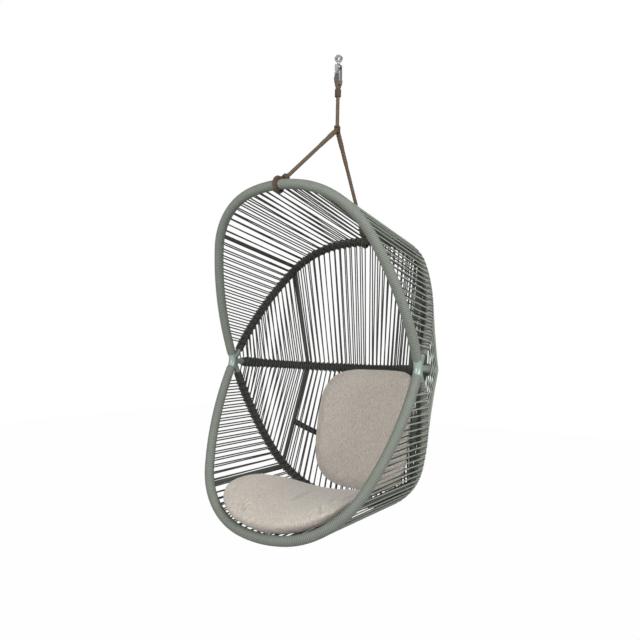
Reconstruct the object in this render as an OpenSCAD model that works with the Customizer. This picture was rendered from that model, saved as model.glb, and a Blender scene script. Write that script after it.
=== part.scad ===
// Hanging egg chair: five bent tubes fan out of two side hubs, strung with cord, and hang from one rope.
// X runs through the two hubs, -Y is the open front, +Z is up. The origin is the bore it hangs from.

/* [Shell] */
// Distance between the two side hubs
hub_span = 900; // [750:10:1050]
// Forward tilt of the empty chair, in degrees
hang_tilt = 5; // [0:0.5:8]
// Plane of the upper front arch, degrees forward of straight up
upper_front_angle = 19; // [14:0.5:24]
// Plane of the lower front arch, degrees forward of straight up
lower_front_angle = 147; // [143:0.5:152]
// Plane of the upper rear arch, degrees back from straight up
upper_rear_angle = 37; // [32:0.5:42]
// Plane of the middle arch, degrees back from straight up
middle_angle = 99; // [95:0.5:103]
// Plane of the lower rear arch, degrees back from straight up
lower_rear_angle = 160.5; // [156:0.5:165]

/* [Tubes and cord] */
// Outer diameter of the front ring tube
ring_tube_d = 28; // [26:0.5:29]
// Outer diameter of the three inner arch tubes
inner_tube_d = 25; // [22:0.5:26]
// Tube wall thickness
tube_wall = 2; // [1.5:0.1:3]
// Thickness of the cord wound on the tubes
wrap_t = 5; // [4:0.25:6]
// Diameter of the strung cord
cord_d = 5.5; // [4:0.25:6]
// Steps along each arch between neighbouring strands
cord_steps = 64; // [48:2:72]
// Outer diameter of the bare hub bends
hub_d = 34; // [31:0.5:36]
// Diameter of the ribs between the arches
rib_d = 17; // [14:0.5:20]
// Diameter of the lumbar bar
lumbar_d = 26; // [20:0.5:28]
// Share of each arch's length at which the top and seat ribs cross it
rib_share = 0.3; // [0.26:0.005:0.34]
// Share of each arch's length at which the back ribs cross it
back_rib_share = 0.294; // [0.26:0.002:0.34]

/* [Cushions] */
// Seat cushion width
seat_w = 588; // [500:2:600]
// Seat cushion depth, front to back
seat_d = 502; // [420:2:510]
// Seat cushion thickness at its crown
seat_t = 80; // [70:1:90]
// Back cushion width
back_w = 494; // [400:2:500]
// Back cushion height
back_h = 535; // [450:5:540]
// Back cushion thickness at its crown
back_t = 84; // [70:1:90]

/* [Rope and hanger] */
// Diameter of the hanging rope
rope_d = 16; // [12:0.5:18]
// Length from the top of the rope's eye to the knot
rope_drop = 236; // [180:2:400]
// Height of the knot above the hub axis
knot_height = 984; // [920:2:1040]
// Bore of the hanging eye
eye_bore = 18; // [14:0.5:20]
// Diameter of the two hanger pins
pin_d = 10; // [8:0.5:10]

/* [Hidden] */

$fn = 48;
size = hub_span / 900;
seat_gap = 0.1;
// Hairline left where two lengths of one bent tube meet, and the band that joins them
joint_slit = 0.05;
joint_band = 0.6;
joint_inset = 0.5;
// Straight length at each arch's foot: front arches, then inner arches
front_foot = 33;
inner_foot = 50;
inner_wrap_start = 55;
// Each arch: foot angle, foot length, side radius, side sweep, shoulder radius, shoulder sweep, plane
arches = [
  [0, front_foot, 1310 * size, 21.5, 335 * size, 56, upper_front_angle],
  [-2, inner_foot, 980 * size, 27, 285 * size, 53, -upper_rear_angle],
  [1, inner_foot, 940 * size, 1.5, 205 * size, 46, -middle_angle],
  [-3, inner_foot, 1240 * size, 18.5, 345 * size, 50, -lower_rear_angle],
  [0, front_foot, 1220 * size, 21.5, 350 * size, 57.5, lower_front_angle]];
tube_r = [ring_tube_d / 2, inner_tube_d / 2, inner_tube_d / 2, inner_tube_d / 2, ring_tube_d / 2];
wrap_r = [for (r = tube_r) r + wrap_t];
wrap_from = [front_foot + 0.3, inner_wrap_start, inner_wrap_start, inner_wrap_start, front_foot + 0.3];
cord_r = cord_d / 2;
// Mass centre of the chair from the middle of the hub axis, before the tilt
balance_x = 12.2;
balance_y = 80.7;
balance_z = -143.9;
hub_back = -(balance_y * cos(hang_tilt) - balance_z * sin(hang_tilt));

// Hanger heights, down from the bore's centre
yoke_top = -26;
yoke_pin_z = -50;
toggle_pin_z = -92;
rope_r = rope_d / 2;
groove_r = 11;
rope_eye_r = groove_r + rope_r + 0.1;
rope_top_z = toggle_pin_z + rope_eye_r + rope_r;
knot_z = rope_top_z - rope_drop;
hub_z = knot_z - knot_height;
knot_r = 13;
eye_merge = rope_eye_r / sin(25);

// Points and headings along one half of an arch, from its hub foot up to its crown
function bend_1(p) = p[0] - p[3];
function bend_2(p) = bend_1(p) - p[5];
function foot_end(p) = [hub_span / 2 + p[1] * sin(p[0]), p[1] * cos(p[0])];
function side_end(p) = foot_end(p) + p[2] * [cos(bend_1(p)) - cos(p[0]), sin(p[0]) - sin(bend_1(p))];
function shoulder_end(p) =
  side_end(p) + p[4] * [cos(bend_2(p)) - cos(bend_1(p)), sin(bend_1(p)) - sin(bend_2(p))];
function crown_r(p) = shoulder_end(p)[0] / cos(bend_2(p));
function arc_len(r, a) = r * a * PI / 180;
function side_len(p) = p[1] + arc_len(p[2], p[3]);
function shoulder_len(p) = side_len(p) + arc_len(p[4], p[5]);
function half_len(p) = shoulder_len(p) + arc_len(crown_r(p), bend_2(p) + 90);
function on_arc(start, r, a0, a) = [start[0] + r * (cos(a) - cos(a0)), start[1] + r * (sin(a0) - sin(a)), a];
function half_at(p, s) =
  s <= p[1] ? [hub_span / 2 + s * sin(p[0]), s * cos(p[0]), p[0]]
  : s <= side_len(p) ? on_arc(foot_end(p), p[2], p[0], p[0] - (s - p[1]) / p[2] * 180 / PI)
  : s <= shoulder_len(p) ? on_arc(side_end(p), p[4], bend_1(p), bend_1(p) - (s - side_len(p)) / p[4] * 180 / PI)
  : on_arc(shoulder_end(p), crown_r(p), bend_2(p), bend_2(p) - (s - shoulder_len(p)) / crown_r(p) * 180 / PI);
function in_plane(x, v, a) = [x, -v * sin(a), v * cos(a)];
// Centre line point and direction of arch k at share t of its length, from the left hub to the right
function arch_at(k, t) =
  let (p = arches[k], s = 2 * t * half_len(p), right = t > 0.5)
  let (q = half_at(p, right ? 2 * half_len(p) - s : s))
  in_plane(right ? q[0] : -q[0], q[1], p[6]);
function arch_dir(k, t) =
  let (p = arches[k], s = 2 * t * half_len(p), right = t > 0.5)
  let (q = half_at(p, right ? 2 * half_len(p) - s : s))
  in_plane(-sin(q[2]), right ? -cos(q[2]) : cos(q[2]), p[6]);
function unit(v) = v / norm(v);
// Outward direction of a panel where it leaves arch k towards the point b
function outward(k, t, b) = unit(cross(arch_dir(k, t), b - arch_at(k, t)));
// From the chair's own frame to the hanging frame
function tilted(v) = [v[0], v[1] * cos(hang_tilt) - v[2] * sin(hang_tilt),
  v[1] * sin(hang_tilt) + v[2] * cos(hang_tilt)];
function hung(p) = [-balance_x, hub_back, hub_z] + tilted(p);

module hang_chair() {
  translate([-balance_x, hub_back, hub_z]) rotate([hang_tilt, 0, 0]) children();
}

module ring_2d(ro, ri) {
  difference() {
    circle(r = ro);
    if (ri > 0) circle(r = ri);
  }
}

module bend(center, r, from, sweep, ro, ri, gap = joint_slit) {
  slit = gap / 2 / r * 180 / PI;
  translate([center[0], center[1], 0]) rotate([0, 0, from + slit])
    rotate_extrude(angle = sweep - 2 * slit) translate([r, 0]) ring_2d(ro, ri);
}

// Thin band inside the wall that joins two lengths of an arch end to end
module joint(side, q, ro, ri) {
  translate([side * q[0], q[1], 0]) rotate([0, 0, -side * q[2]]) rotate([-90, 0, 0])
    translate([0, 0, -joint_band / 2]) linear_extrude(joint_band) rotate(side > 0 ? 0 : 180)
      ring_2d(ro - joint_inset, ri > 0 ? ri + joint_inset : 0);
}

module foot(p, from, ro, ri, side) {
  translate([side * hub_span / 2, 0, 0]) rotate([0, 0, -side * p[0]]) rotate([-90, 0, 0])
    translate([0, 0, from]) linear_extrude(p[1] - from - joint_slit / 2) rotate(side > 0 ? 0 : 180)
      ring_2d(ro, ri);
}

// Centres of an arch's three bends on the right side
function side_center(p) = foot_end(p) + p[2] * [-cos(p[0]), sin(p[0])];
function shoulder_center(p) = side_end(p) + p[4] * [-cos(bend_1(p)), sin(bend_1(p))];
function crown_center(p) = shoulder_end(p) + crown_r(p) * [-cos(bend_2(p)), sin(bend_2(p))];

module side_bend(p, side, skip, ro, ri, gap = joint_slit) {
  c = side_center(p);
  bend([side * c[0], c[1]], p[2], side > 0 ? skip - p[0] : 180 + bend_1(p), p[3] - skip, ro, ri, gap);
}

module shoulder_bend(p, side, ro, ri, gap = joint_slit) {
  c = shoulder_center(p);
  bend([side * c[0], c[1]], p[4], side > 0 ? -bend_1(p) : 180 + bend_2(p), p[5], ro, ri, gap);
}

module crown_bend(p, ro, ri) {
  bend(crown_center(p), crown_r(p), -bend_2(p), 2 * (bend_2(p) + 90), ro, ri);
}

bar_over = 3;
rib_reach = 30;
// A whole bent arch as one tube, from the given distance beyond each hub's centre
module arch_tube(k, ro, ri, from) {
  p = arches[k];
  skip = from > p[1] ? (from - p[1]) / p[2] * 180 / PI : 0;
  rotate([90 + p[6], 0, 0]) union() {
    crown_bend(p, ro, ri);
    for (side = [-1, 1]) {
      joint(side, half_at(p, shoulder_len(p)), ro, ri);
      shoulder_bend(p, side, ro, ri);
      joint(side, half_at(p, side_len(p)), ro, ri);
      side_bend(p, side, skip, ro, ri);
      if (from < p[1]) {
        joint(side, half_at(p, p[1]), ro, ri);
        foot(p, from, ro, ri, side);
      }
    }
  }
}

// Which bend of an arch the share t lies on: 0 side, 1 shoulder, 2 crown
function bend_no(k, t) =
  let (p = arches[k], s = 2 * half_len(p) * min(t, 1 - t)) s > shoulder_len(p) ? 2 : s > side_len(p) ? 1 : 0;

// One bend of an arch as a solid bar, run on a little at both ends, for cutting what sits on it
module bar(k, t, n, r) {
  p = arches[k];
  side = t > 0.5 ? 1 : -1;
  rotate([90 + p[6], 0, 0])
    if (n == 2) crown_bend(p, r, 0);
    else if (n == 1) shoulder_bend(p, side, r, 0, -bar_over);
    else side_bend(p, side, 0, r, 0, -bar_over);
}

// The bend that a rib at share t sits on, and the next one where its slanting end reaches that far
module bar_at(k, t, r) {
  n = bend_no(k, t);
  reach = rib_reach / (2 * half_len(arches[k]));
  m = bend_no(k, t > 0.5 ? t + reach : t - reach);
  bar(k, t, n, r);
  if (m != n) bar(k, t, m, r + 0.05);
}

module along(a, b) {
  v = b - a;
  translate(a) rotate([0, acos(v[2] / norm(v)), atan2(v[1], v[0])]) children();
}

module rod(a, b, r) {
  along(a, b) cylinder(r = r, h = norm(b - a));
}

// Half the angle that the ring turns through at the hub, and the bend that fits its feet
hub_turn = 180 - (lower_front_angle - upper_front_angle);
hub_bend_r = front_foot / tan(hub_turn / 2);
hub_mid = (upper_front_angle + lower_front_angle) / 2;

module hub_bend(side, r) {
  reach = hub_bend_r / cos(hub_turn / 2);
  translate([side * hub_span / 2, 0, 0]) rotate([90 + hub_mid, 0, 0]) rotate([0, 90, 0])
    translate([0, reach, 0]) rotate([0, 0, -90 - hub_turn / 2])
      rotate_extrude(angle = hub_turn) translate([hub_bend_r, 0]) circle(r = r);
}

module left_hub() {
  color("#9db8a6") hang_chair() hub_bend(-1, hub_d / 2);
}

module right_hub() {
  color("#9db8a6") hang_chair() hub_bend(1, hub_d / 2);
}

module front_arch(k) {
  color("#6f7d74") hang_chair() arch_tube(k, tube_r[k], tube_r[k] - tube_wall, front_foot + seat_gap);
}

module upper_front_arch() {
  front_arch(0);
}

module lower_front_arch() {
  front_arch(4);
}

// An inner arch's foot as a solid bar, for cutting the foot beside it
module foot_bar(k, side, r) {
  p = arches[k];
  rotate([90 + p[6], 0, 0]) foot(p, -30, r, 0, side);
}

module inner_arch(k, cut_by_middle) {
  color("#6f7d74") hang_chair() difference() {
    arch_tube(k, tube_r[k], tube_r[k] - tube_wall, -5);
    for (side = [-1, 1]) {
      hub_bend(side, hub_d / 2 + seat_gap);
      if (cut_by_middle) foot_bar(2, side, tube_r[2] + seat_gap);
    }
  }
}

module upper_rear_arch() {
  inner_arch(1, true);
}

module middle_arch() {
  inner_arch(2, false);
}

module lower_rear_arch() {
  inner_arch(3, true);
}

module wrap(k) {
  color("#7d8a80") hang_chair() arch_tube(k, wrap_r[k], tube_r[k] + seat_gap, wrap_from[k]);
}

module upper_front_wrap() {
  wrap(0);
}

module lower_front_wrap() {
  wrap(4);
}

module upper_rear_wrap() {
  wrap(1);
}

module middle_wrap() {
  wrap(2);
}

module lower_rear_wrap() {
  wrap(3);
}

// Rib from arch ka to arch kb, its ends shaped to sit on the two wraps
module rib(ka, kb, t) {
  a = arch_at(ka, t);
  b = arch_at(kb, t);
  u = unit(b - a);
  p = a + u * (wrap_r[ka] - 5);
  q = b - u * (wrap_r[kb] - 5);
  color("#5d6b62") hang_chair() difference() {
    along(p, q) linear_extrude(norm(q - p)) ring_2d(rib_d / 2, rib_d / 2 - tube_wall);
    bar_at(ka, t, wrap_r[ka] + seat_gap);
    bar_at(kb, t, wrap_r[kb] + seat_gap);
  }
}

module left_top_rib() {
  rib(0, 1, rib_share);
}

module right_top_rib() {
  rib(0, 1, 1 - rib_share);
}

module left_upper_back_rib() {
  rib(1, 2, back_rib_share);
}

module right_upper_back_rib() {
  rib(1, 2, 1 - back_rib_share);
}

module left_lower_back_rib() {
  rib(2, 3, back_rib_share);
}

module right_lower_back_rib() {
  rib(2, 3, 1 - back_rib_share);
}

module left_seat_rib() {
  rib(3, 4, rib_share);
}

module right_seat_rib() {
  rib(3, 4, 1 - rib_share);
}

// Lumbar bar: a bent tube between the two lower back ribs
lumbar_share = 0.57;
function back_mid(t) = arch_at(2, t) + (arch_at(3, t) - arch_at(2, t)) * lumbar_share;

module lumbar_bar() {
  pl = back_mid(back_rib_share);
  pm = back_mid(0.5);
  c = -pl[0];
  rise = pm - [0, pl[1], pl[2]];
  s = norm(rise);
  r = (c * c + s * s) / (2 * s);
  half = asin(c / r);
  tip = atan2(rise[2], rise[1]);
  color("#4d5852") hang_chair() difference() {
    translate(pm - rise / s * r) rotate([tip, 0, 0]) rotate([0, 0, 90 - half])
      rotate_extrude(angle = 2 * half) translate([r, 0]) ring_2d(lumbar_d / 2, lumbar_d / 2 - tube_wall);
    for (t = [back_rib_share, 1 - back_rib_share])
      rod(arch_at(2, t), arch_at(3, t), rib_d / 2 + seat_gap);
  }
}

// Strands between two arches: side -1 lies on the inner face of the shell, side 1 on the outer
// The whole row is moved over so that a gap falls under the rope's hitches
first_step = 3;
middle_step = cord_steps / 2;
strand_phase = 0.41;
// Inner strands of neighbouring panels spread along their shared arch, so that they pass each other
strand_spread = 2;
function spread(k, t, mm) = t + mm * max(-1, min(1, (0.5 - t) / 0.12)) / (2 * half_len(arches[k]));
module strand(ka, kb, t, side) {
  inner = side < 0 ? strand_spread : 0;
  ta = spread(ka, t, ka == 1 ? inner : ka == 3 ? -inner : 0);
  tb = spread(kb, t, kb == 1 ? -inner : kb == 3 ? inner : 0);
  a = arch_at(ka, ta);
  b = arch_at(kb, tb);
  off = cord_r + seat_gap;
  rod(a + side * outward(ka, ta, b) * (wrap_r[ka] + off), b - side * outward(kb, tb, a) * (wrap_r[kb] + off), cord_r);
}

module strands(ka, kb, shift, side) {
  hitched = kb < 3 && shift == 0;
  color("#66726a") hang_chair()
    for (i = [first_step:cord_steps - first_step - 1])
      if (!hitched || i != middle_step) strand(ka, kb, (i + shift + strand_phase) / cord_steps, side);
}

module top_inner_strands() {
  strands(0, 1, 0, -1);
}

module top_outer_strands() {
  strands(0, 1, 0.5, 1);
}

module upper_back_inner_strands() {
  strands(1, 2, 0.5, -1);
}

module upper_back_outer_strands() {
  strands(1, 2, 0, 1);
}

module lower_back_inner_strands() {
  strands(2, 3, 0, -1);
}

module lower_back_outer_strands() {
  strands(2, 3, 0.5, 1);
}

module seat_inner_strands() {
  strands(3, 4, 0.5, -1);
}

module seat_outer_strands() {
  strands(3, 4, 0, 1);
}

// Cushion outline: a rounded shape with the given squareness, and a plump section
around = 44;
across = 11;
function power(v, e) = sign(v) * pow(abs(v), e);
function pad_plan(a, w, d, n) = [w / 2 * power(cos(a), 2 / n), d / 2 * power(sin(a), 2 / n)];
function pad_swell(q, e) = pow(1 - pow(q, e), 0.5);
function pad_ring(j) = sin(90 * j / across);

// Seat cushion: curved up at the sides to follow the seat
seat_round = 2.5;
seat_full = 4.5;
seat_mid_y = -156;
seat_mid_z = -538.86;
seat_bend = 0.00085;
seat_lift = 0.0000000015;
seat_slope = -0.045;
function seat_pt(xy, half) =
  [xy[0], seat_mid_y + xy[1],
  seat_mid_z + seat_bend * pow(xy[0], 2) + seat_lift * pow(xy[0], 4) + seat_slope * xy[1] + half];

// Back cushion: stands on the lower back panel and curves with it
back_round = 3.3;
back_full = 4;
back_foot = 52;
back_off = 72.10;
back_bend = 0.0007;
back_shift = 77;
back_up = unit(arch_at(2, 0.5) - arch_at(3, 0.5));
back_out = [0, -back_up[2], back_up[1]];
function back_pt(xy, half) =
  arch_at(3, 0.5) + [back_shift + xy[0], 0, 0] + back_up * (back_foot + back_h / 2 + xy[1])
  + back_out * (back_off + back_bend * pow(back_shift + xy[0], 2) + half);

// Closed solid from a face function: rings grow from the middle of each face to the shared edge
module pad(points) {
  count = around * (across - 1);
  faces_up = [
    for (j = [0:across - 3], i = [0:around - 1], e = [0, 1])
      let (a = j * around + i, b = j * around + (i + 1) % around)
      e == 0 ? [a, a + around, b + around] : [a, b + around, b]];
  faces_down = [
    for (j = [0:across - 3], i = [0:around - 1], e = [0, 1])
      let (a = count + j * around + i, b = count + j * around + (i + 1) % around)
      e == 0 ? [a, b + around, a + around] : [a, b, b + around]];
  rim = 2 * count;
  last = (across - 2) * around;
  faces_rim = [
    for (i = [0:around - 1], e = [0, 1, 2, 3])
      let (a = last + i, b = last + (i + 1) % around, r = rim + i, s = rim + (i + 1) % around)
      e == 0 ? [a, r, s] : e == 1 ? [a, s, b]
      : e == 2 ? [count + a, s, r] : [count + a, count + b, s]];
  hub = rim + around;
  faces_hub = [for (i = [0:around - 1], e = [0, 1])
    let (b = (i + 1) % around)
    e == 0 ? [hub, i, b] : [hub + 1, count + b, count + i]];
  polyhedron(points = points, faces = concat(faces_up, faces_down, faces_rim, faces_hub), convexity = 6);
}

function pad_xy(j, i, w, d, n) = pad_ring(j) * pad_plan(360 * i / around, w, d, n);

module seat_cushion() {
  points = concat(
    [for (j = [1:across - 1], i = [0:around - 1])
      seat_pt(pad_xy(j, i, seat_w, seat_d, seat_round), seat_t / 2 * pad_swell(pad_ring(j), seat_full))],
    [for (j = [1:across - 1], i = [0:around - 1])
      seat_pt(pad_xy(j, i, seat_w, seat_d, seat_round), -seat_t / 2 * pad_swell(pad_ring(j), seat_full))],
    [for (i = [0:around - 1]) seat_pt(pad_xy(across, i, seat_w, seat_d, seat_round), 0)],
    [seat_pt([0, 0], seat_t / 2), seat_pt([0, 0], -seat_t / 2)]);
  color("#b5aca0") hang_chair() pad(points);
}

module back_cushion() {
  points = concat(
    [for (j = [1:across - 1], i = [0:around - 1])
      back_pt(pad_xy(j, i, back_w, back_h, back_round), back_t / 2 * pad_swell(pad_ring(j), back_full))],
    [for (j = [1:across - 1], i = [0:around - 1])
      back_pt(pad_xy(j, i, back_w, back_h, back_round), -back_t / 2 * pad_swell(pad_ring(j), back_full))],
    [for (i = [0:around - 1]) back_pt(pad_xy(across, i, back_w, back_h, back_round), 0)],
    [back_pt([0, 0], back_t / 2), back_pt([0, 0], -back_t / 2)]);
  color("#b5aca0") hang_chair() pad(points);
}

// Hanger: an eye whose shank turns in a yoke, and a link with two crossed pins
eye_w = 14;
eye_r = eye_bore / 2 + 7;
shank_r = 6;
head_r = 9;
web_h = 8;
web_bottom = yoke_top - web_h;
ear_gap = 10.2;
ear_t = 5;
lug_r = 9;
fork_gap = rope_r + 0.7;
fork_top = yoke_pin_z - lug_r + 3;

module cross_x(r, from, to, y, z) {
  translate([from, y, z]) rotate([0, 90, 0]) cylinder(r = r, h = to - from);
}

module cross_y(r, from, to, z) {
  translate([0, to, z]) rotate([90, 0, 0]) cylinder(r = r, h = to - from);
}

module swivel_eye() {
  color("#8e9497") difference() {
    union() {
      cross_y(eye_r, -eye_w / 2, eye_w / 2, 0);
      translate([0, 0, web_bottom - 1]) cylinder(r = shank_r, h = -web_bottom - eye_bore / 2 - 1);
      translate([0, 0, web_bottom - 5.6]) cylinder(r = head_r, h = 5.5);
    }
    cross_y(eye_bore / 2, -eye_w, eye_w, 0);
  }
}

module swivel_yoke() {
  ear = ear_gap + ear_t;
  color("#8e9497") difference() {
    union() {
      translate([-lug_r, -ear, web_bottom]) cube([2 * lug_r, 2 * ear, web_h]);
      for (y = [-ear, ear_gap]) {
        translate([-lug_r, y, yoke_pin_z]) cube([2 * lug_r, ear_t, web_bottom - yoke_pin_z + 1]);
        cross_y(lug_r, y, y + ear_t, yoke_pin_z);
      }
    }
    translate([0, 0, web_bottom - 1]) cylinder(r = shank_r + 0.05, h = web_h + 2);
    cross_y(pin_d / 2 + 0.02, -ear - 1, ear + 1, yoke_pin_z);
  }
}

module yoke_pin() {
  color("#a7adb0") cross_y(pin_d / 2, -ear_gap - ear_t - 2, ear_gap + ear_t + 2, yoke_pin_z);
}

module toggle_link() {
  side = fork_gap + 5;
  color("#8e9497") difference() {
    union() {
      cross_y(lug_r, -ear_gap + 0.4, ear_gap - 0.4, yoke_pin_z);
      translate([-side, -lug_r, fork_top - 7]) cube([2 * side, 2 * lug_r, 7]);
      for (x = [-side, fork_gap]) {
        translate([x, -lug_r, toggle_pin_z]) cube([5, 2 * lug_r, fork_top - toggle_pin_z - 1]);
        cross_x(lug_r, x, x + 5, 0, toggle_pin_z);
      }
    }
    cross_y(pin_d / 2 + 0.05, -ear_gap, ear_gap, yoke_pin_z);
    cross_x(pin_d / 2 + 0.02, -side - 1, side + 1, 0, toggle_pin_z);
  }
}

module toggle_pin() {
  side = fork_gap + 7;
  color("#a7adb0") cross_x(pin_d / 2, -side, side, 0, toggle_pin_z);
}

module rope_thimble() {
  flange = groove_r + rope_r * 0.7;
  color("#9aa0a2") translate([0, 0, toggle_pin_z]) rotate([0, 90, 0]) rotate_extrude() difference() {
    translate([pin_d / 2 + 0.05, -rope_r - 0.3]) square([flange - pin_d / 2 - 0.05, rope_d + 0.6]);
    translate([rope_eye_r, 0]) circle(r = rope_r + seat_gap);
  }
}

// Rope route from the thimble to the knot, as its solid parts grown by the given amount
module rope_eye(grow) {
  leg_y = rope_eye_r * cos(25);
  leg_z = -rope_eye_r * sin(25);
  along = [0, -sin(25), -cos(25)];
  translate([0, 0, toggle_pin_z]) {
    rotate([0, 90, 0]) rotate([0, 0, 65])
      rotate_extrude(angle = 230) translate([rope_eye_r, 0]) circle(r = rope_r + grow);
    for (side = [-1, 1]) {
      way = [0, side * along[1], along[2]];
      foot_at = [0, side * leg_y, leg_z];
      rod(foot_at - way, foot_at + way * (rope_eye_r / tan(25) - 4), rope_r + grow - 0.1);
    }
  }
}

module hanging_rope() {
  color("#6a5648") difference() {
    union() {
      rope_eye(0);
      translate([0, 0, knot_z]) cylinder(r = rope_r, h = toggle_pin_z - eye_merge + 8 - knot_z);
    }
    translate([0, 0, knot_z]) sphere(r = knot_r + seat_gap);
  }
}

module eye_seizing() {
  top = toggle_pin_z - eye_merge + 7;
  color("#5c4a3e") difference() {
    translate([0, 0, top - 34]) cylinder(r = rope_r + 5.5, h = 34);
    rope_eye(seat_gap);
    translate([0, 0, top - 40]) cylinder(r = rope_r + seat_gap, h = 60);
  }
}

module rope_knot() {
  color("#5c4a3e") translate([0, 0, knot_z]) sphere(r = knot_r);
}

// A branch runs from the knot to the top of its hitch, thicker where its end is spliced back
function hitch_share(k) = 0.5 + balance_x / (2 * half_len(arches[k]));
function hitch_at(k) = hung(arch_at(k, hitch_share(k)));
front_crown = [0, hitch_at(0)[1], hitch_at(0)[2]];
rear_crown = [0, hitch_at(1)[1], hitch_at(1)[2]];
knot_at = [0, 0, knot_z];
splice_1 = 80;
splice_2 = 155;
turn_r = rope_r - 0.5;

// Where the spliced end of a branch starts to swell, and how long it takes
nose_from = 11;
nose_l = 12;
module branch(crown, k) {
  u = unit(crown - knot_at);
  stop = norm(crown - knot_at) - wrap_r[k] - 2 * turn_r - 0.35;
  color("#6a5648") difference() {
    union() {
      rod(knot_at + u * (knot_r - 4), knot_at + u * stop, rope_r);
      along(knot_at + u * nose_from, knot_at + u * stop)
        cylinder(r1 = rope_r - 0.3, r2 = rope_r + 2.6, h = nose_l);
      rod(knot_at + u * (nose_from + nose_l - 1), knot_at + u * splice_1, rope_r + 2.5);
      rod(knot_at + u * (splice_1 - 1), knot_at + u * splice_2, rope_r + 1.2);
    }
    translate(knot_at) sphere(r = knot_r + seat_gap);
  }
}

module front_rope_branch() {
  branch(front_crown, 0);
}

module rear_rope_branch() {
  branch(rear_crown, 1);
}

module loop_about(at, axis, r, cord) {
  translate(at) rotate([0, acos(axis[2] / norm(axis)), atan2(axis[1], axis[0])])
    rotate_extrude() translate([r, 0]) circle(r = cord);
}

// One round turn on the arch, and two turns about the branch clear of the strands
bind_r = 4;
bind_height = 42;
module hitch(crown, k) {
  u = unit(crown - knot_at);
  color("#5c4a3e") {
    loop_about(crown, tilted(arch_dir(k, hitch_share(k))), wrap_r[k] + turn_r + seat_gap, turn_r);
    for (n = [0, 1])
      loop_about(crown - u * (bind_height + n * (2 * bind_r + 0.2)), u, rope_r + bind_r + seat_gap, bind_r);
  }
}

module front_hitch() {
  hitch(front_crown, 0);
}

module rear_hitch() {
  hitch(rear_crown, 1);
}

swivel_eye();
swivel_yoke();
yoke_pin();
toggle_link();
toggle_pin();
rope_thimble();
hanging_rope();
eye_seizing();
rope_knot();
front_rope_branch();
rear_rope_branch();
front_hitch();
rear_hitch();
upper_front_arch();
lower_front_arch();
upper_rear_arch();
middle_arch();
lower_rear_arch();
left_hub();
right_hub();
upper_front_wrap();
lower_front_wrap();
upper_rear_wrap();
middle_wrap();
lower_rear_wrap();
left_top_rib();
right_top_rib();
left_upper_back_rib();
right_upper_back_rib();
left_lower_back_rib();
right_lower_back_rib();
left_seat_rib();
right_seat_rib();
lumbar_bar();
top_inner_strands();
top_outer_strands();
upper_back_inner_strands();
upper_back_outer_strands();
lower_back_inner_strands();
lower_back_outer_strands();
seat_inner_strands();
seat_outer_strands();
seat_cushion();
back_cushion();
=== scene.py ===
"""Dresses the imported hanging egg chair: wound arches, strung cord panels, cushions, rope and swivel."""

import logging
import math
from dataclasses import dataclass
from enum import Enum
from typing import Callable, Optional, Sequence, Union

import bmesh
import bpy
import numpy as np
from mathutils import Matrix


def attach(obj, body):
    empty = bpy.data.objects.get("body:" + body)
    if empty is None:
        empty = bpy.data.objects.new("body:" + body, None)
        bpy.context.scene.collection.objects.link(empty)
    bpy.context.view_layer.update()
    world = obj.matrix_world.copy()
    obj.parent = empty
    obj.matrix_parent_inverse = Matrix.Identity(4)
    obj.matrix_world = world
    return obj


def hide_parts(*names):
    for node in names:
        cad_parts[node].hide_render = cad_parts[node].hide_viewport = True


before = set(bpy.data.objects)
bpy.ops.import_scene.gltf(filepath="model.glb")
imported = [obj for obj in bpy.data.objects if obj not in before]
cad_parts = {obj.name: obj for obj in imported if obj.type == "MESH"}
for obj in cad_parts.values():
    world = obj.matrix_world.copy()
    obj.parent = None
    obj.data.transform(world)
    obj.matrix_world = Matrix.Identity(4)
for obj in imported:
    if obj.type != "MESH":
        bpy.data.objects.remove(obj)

LOG = logging.getLogger("egg_chair")
MM = 0.001
TURN = 2.0 * math.pi
TINY = 1e-9
STRAIGHT = 1e-4
Array = np.ndarray
Number = Union[int, float]
Tube = tuple[Array, Array, Array, Array]
Line = Callable[[Array], tuple[Array, Array]]
Hue = tuple[float, float, float, float]
Fold = tuple[tuple[float, float], tuple[float, float], float, float]


# ---------------------------------------------------------------- shared geometry


def unit(v: Array) -> Array:
    """Vectors scaled to length 1 along the last axis."""
    return v / np.linalg.norm(v, axis=-1, keepdims=True)


@dataclass(frozen=True)
class Hang:
    """How the chair's own frame sits in the hanging frame: a tilt about X, then an offset in metres."""

    tilt: float = math.radians(5.0)
    offset: tuple[float, float, float] = (-0.0122, -0.09294, -1.2849)

    def turn(self, v: Array) -> Array:
        """Directions turned by the tilt: y and z rotate about X."""
        c, s = math.cos(self.tilt), math.sin(self.tilt)
        return np.stack([v[..., 0], c * v[..., 1] - s * v[..., 2], s * v[..., 1] + c * v[..., 2]], -1)

    def place(self, p: Array) -> Array:
        """Points turned by the tilt and moved by the offset."""
        return self.turn(p) + np.array(self.offset)

    def back(self, p: Array) -> Array:
        """The chair's own coordinates of points in the hanging frame: the offset and the tilt undone."""
        q = p - np.array(self.offset)
        c, s = math.cos(self.tilt), math.sin(self.tilt)
        return np.stack([q[..., 0], c * q[..., 1] + s * q[..., 2], -s * q[..., 1] + c * q[..., 2]], -1)


HANG = Hang()
ASKEW = np.array([0.35, 0.86, 0.37])
X_WAY = np.array([1.0, 0.0, 0.0])
Z_WAY = np.array([0.0, 0.0, 1.0])


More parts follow.
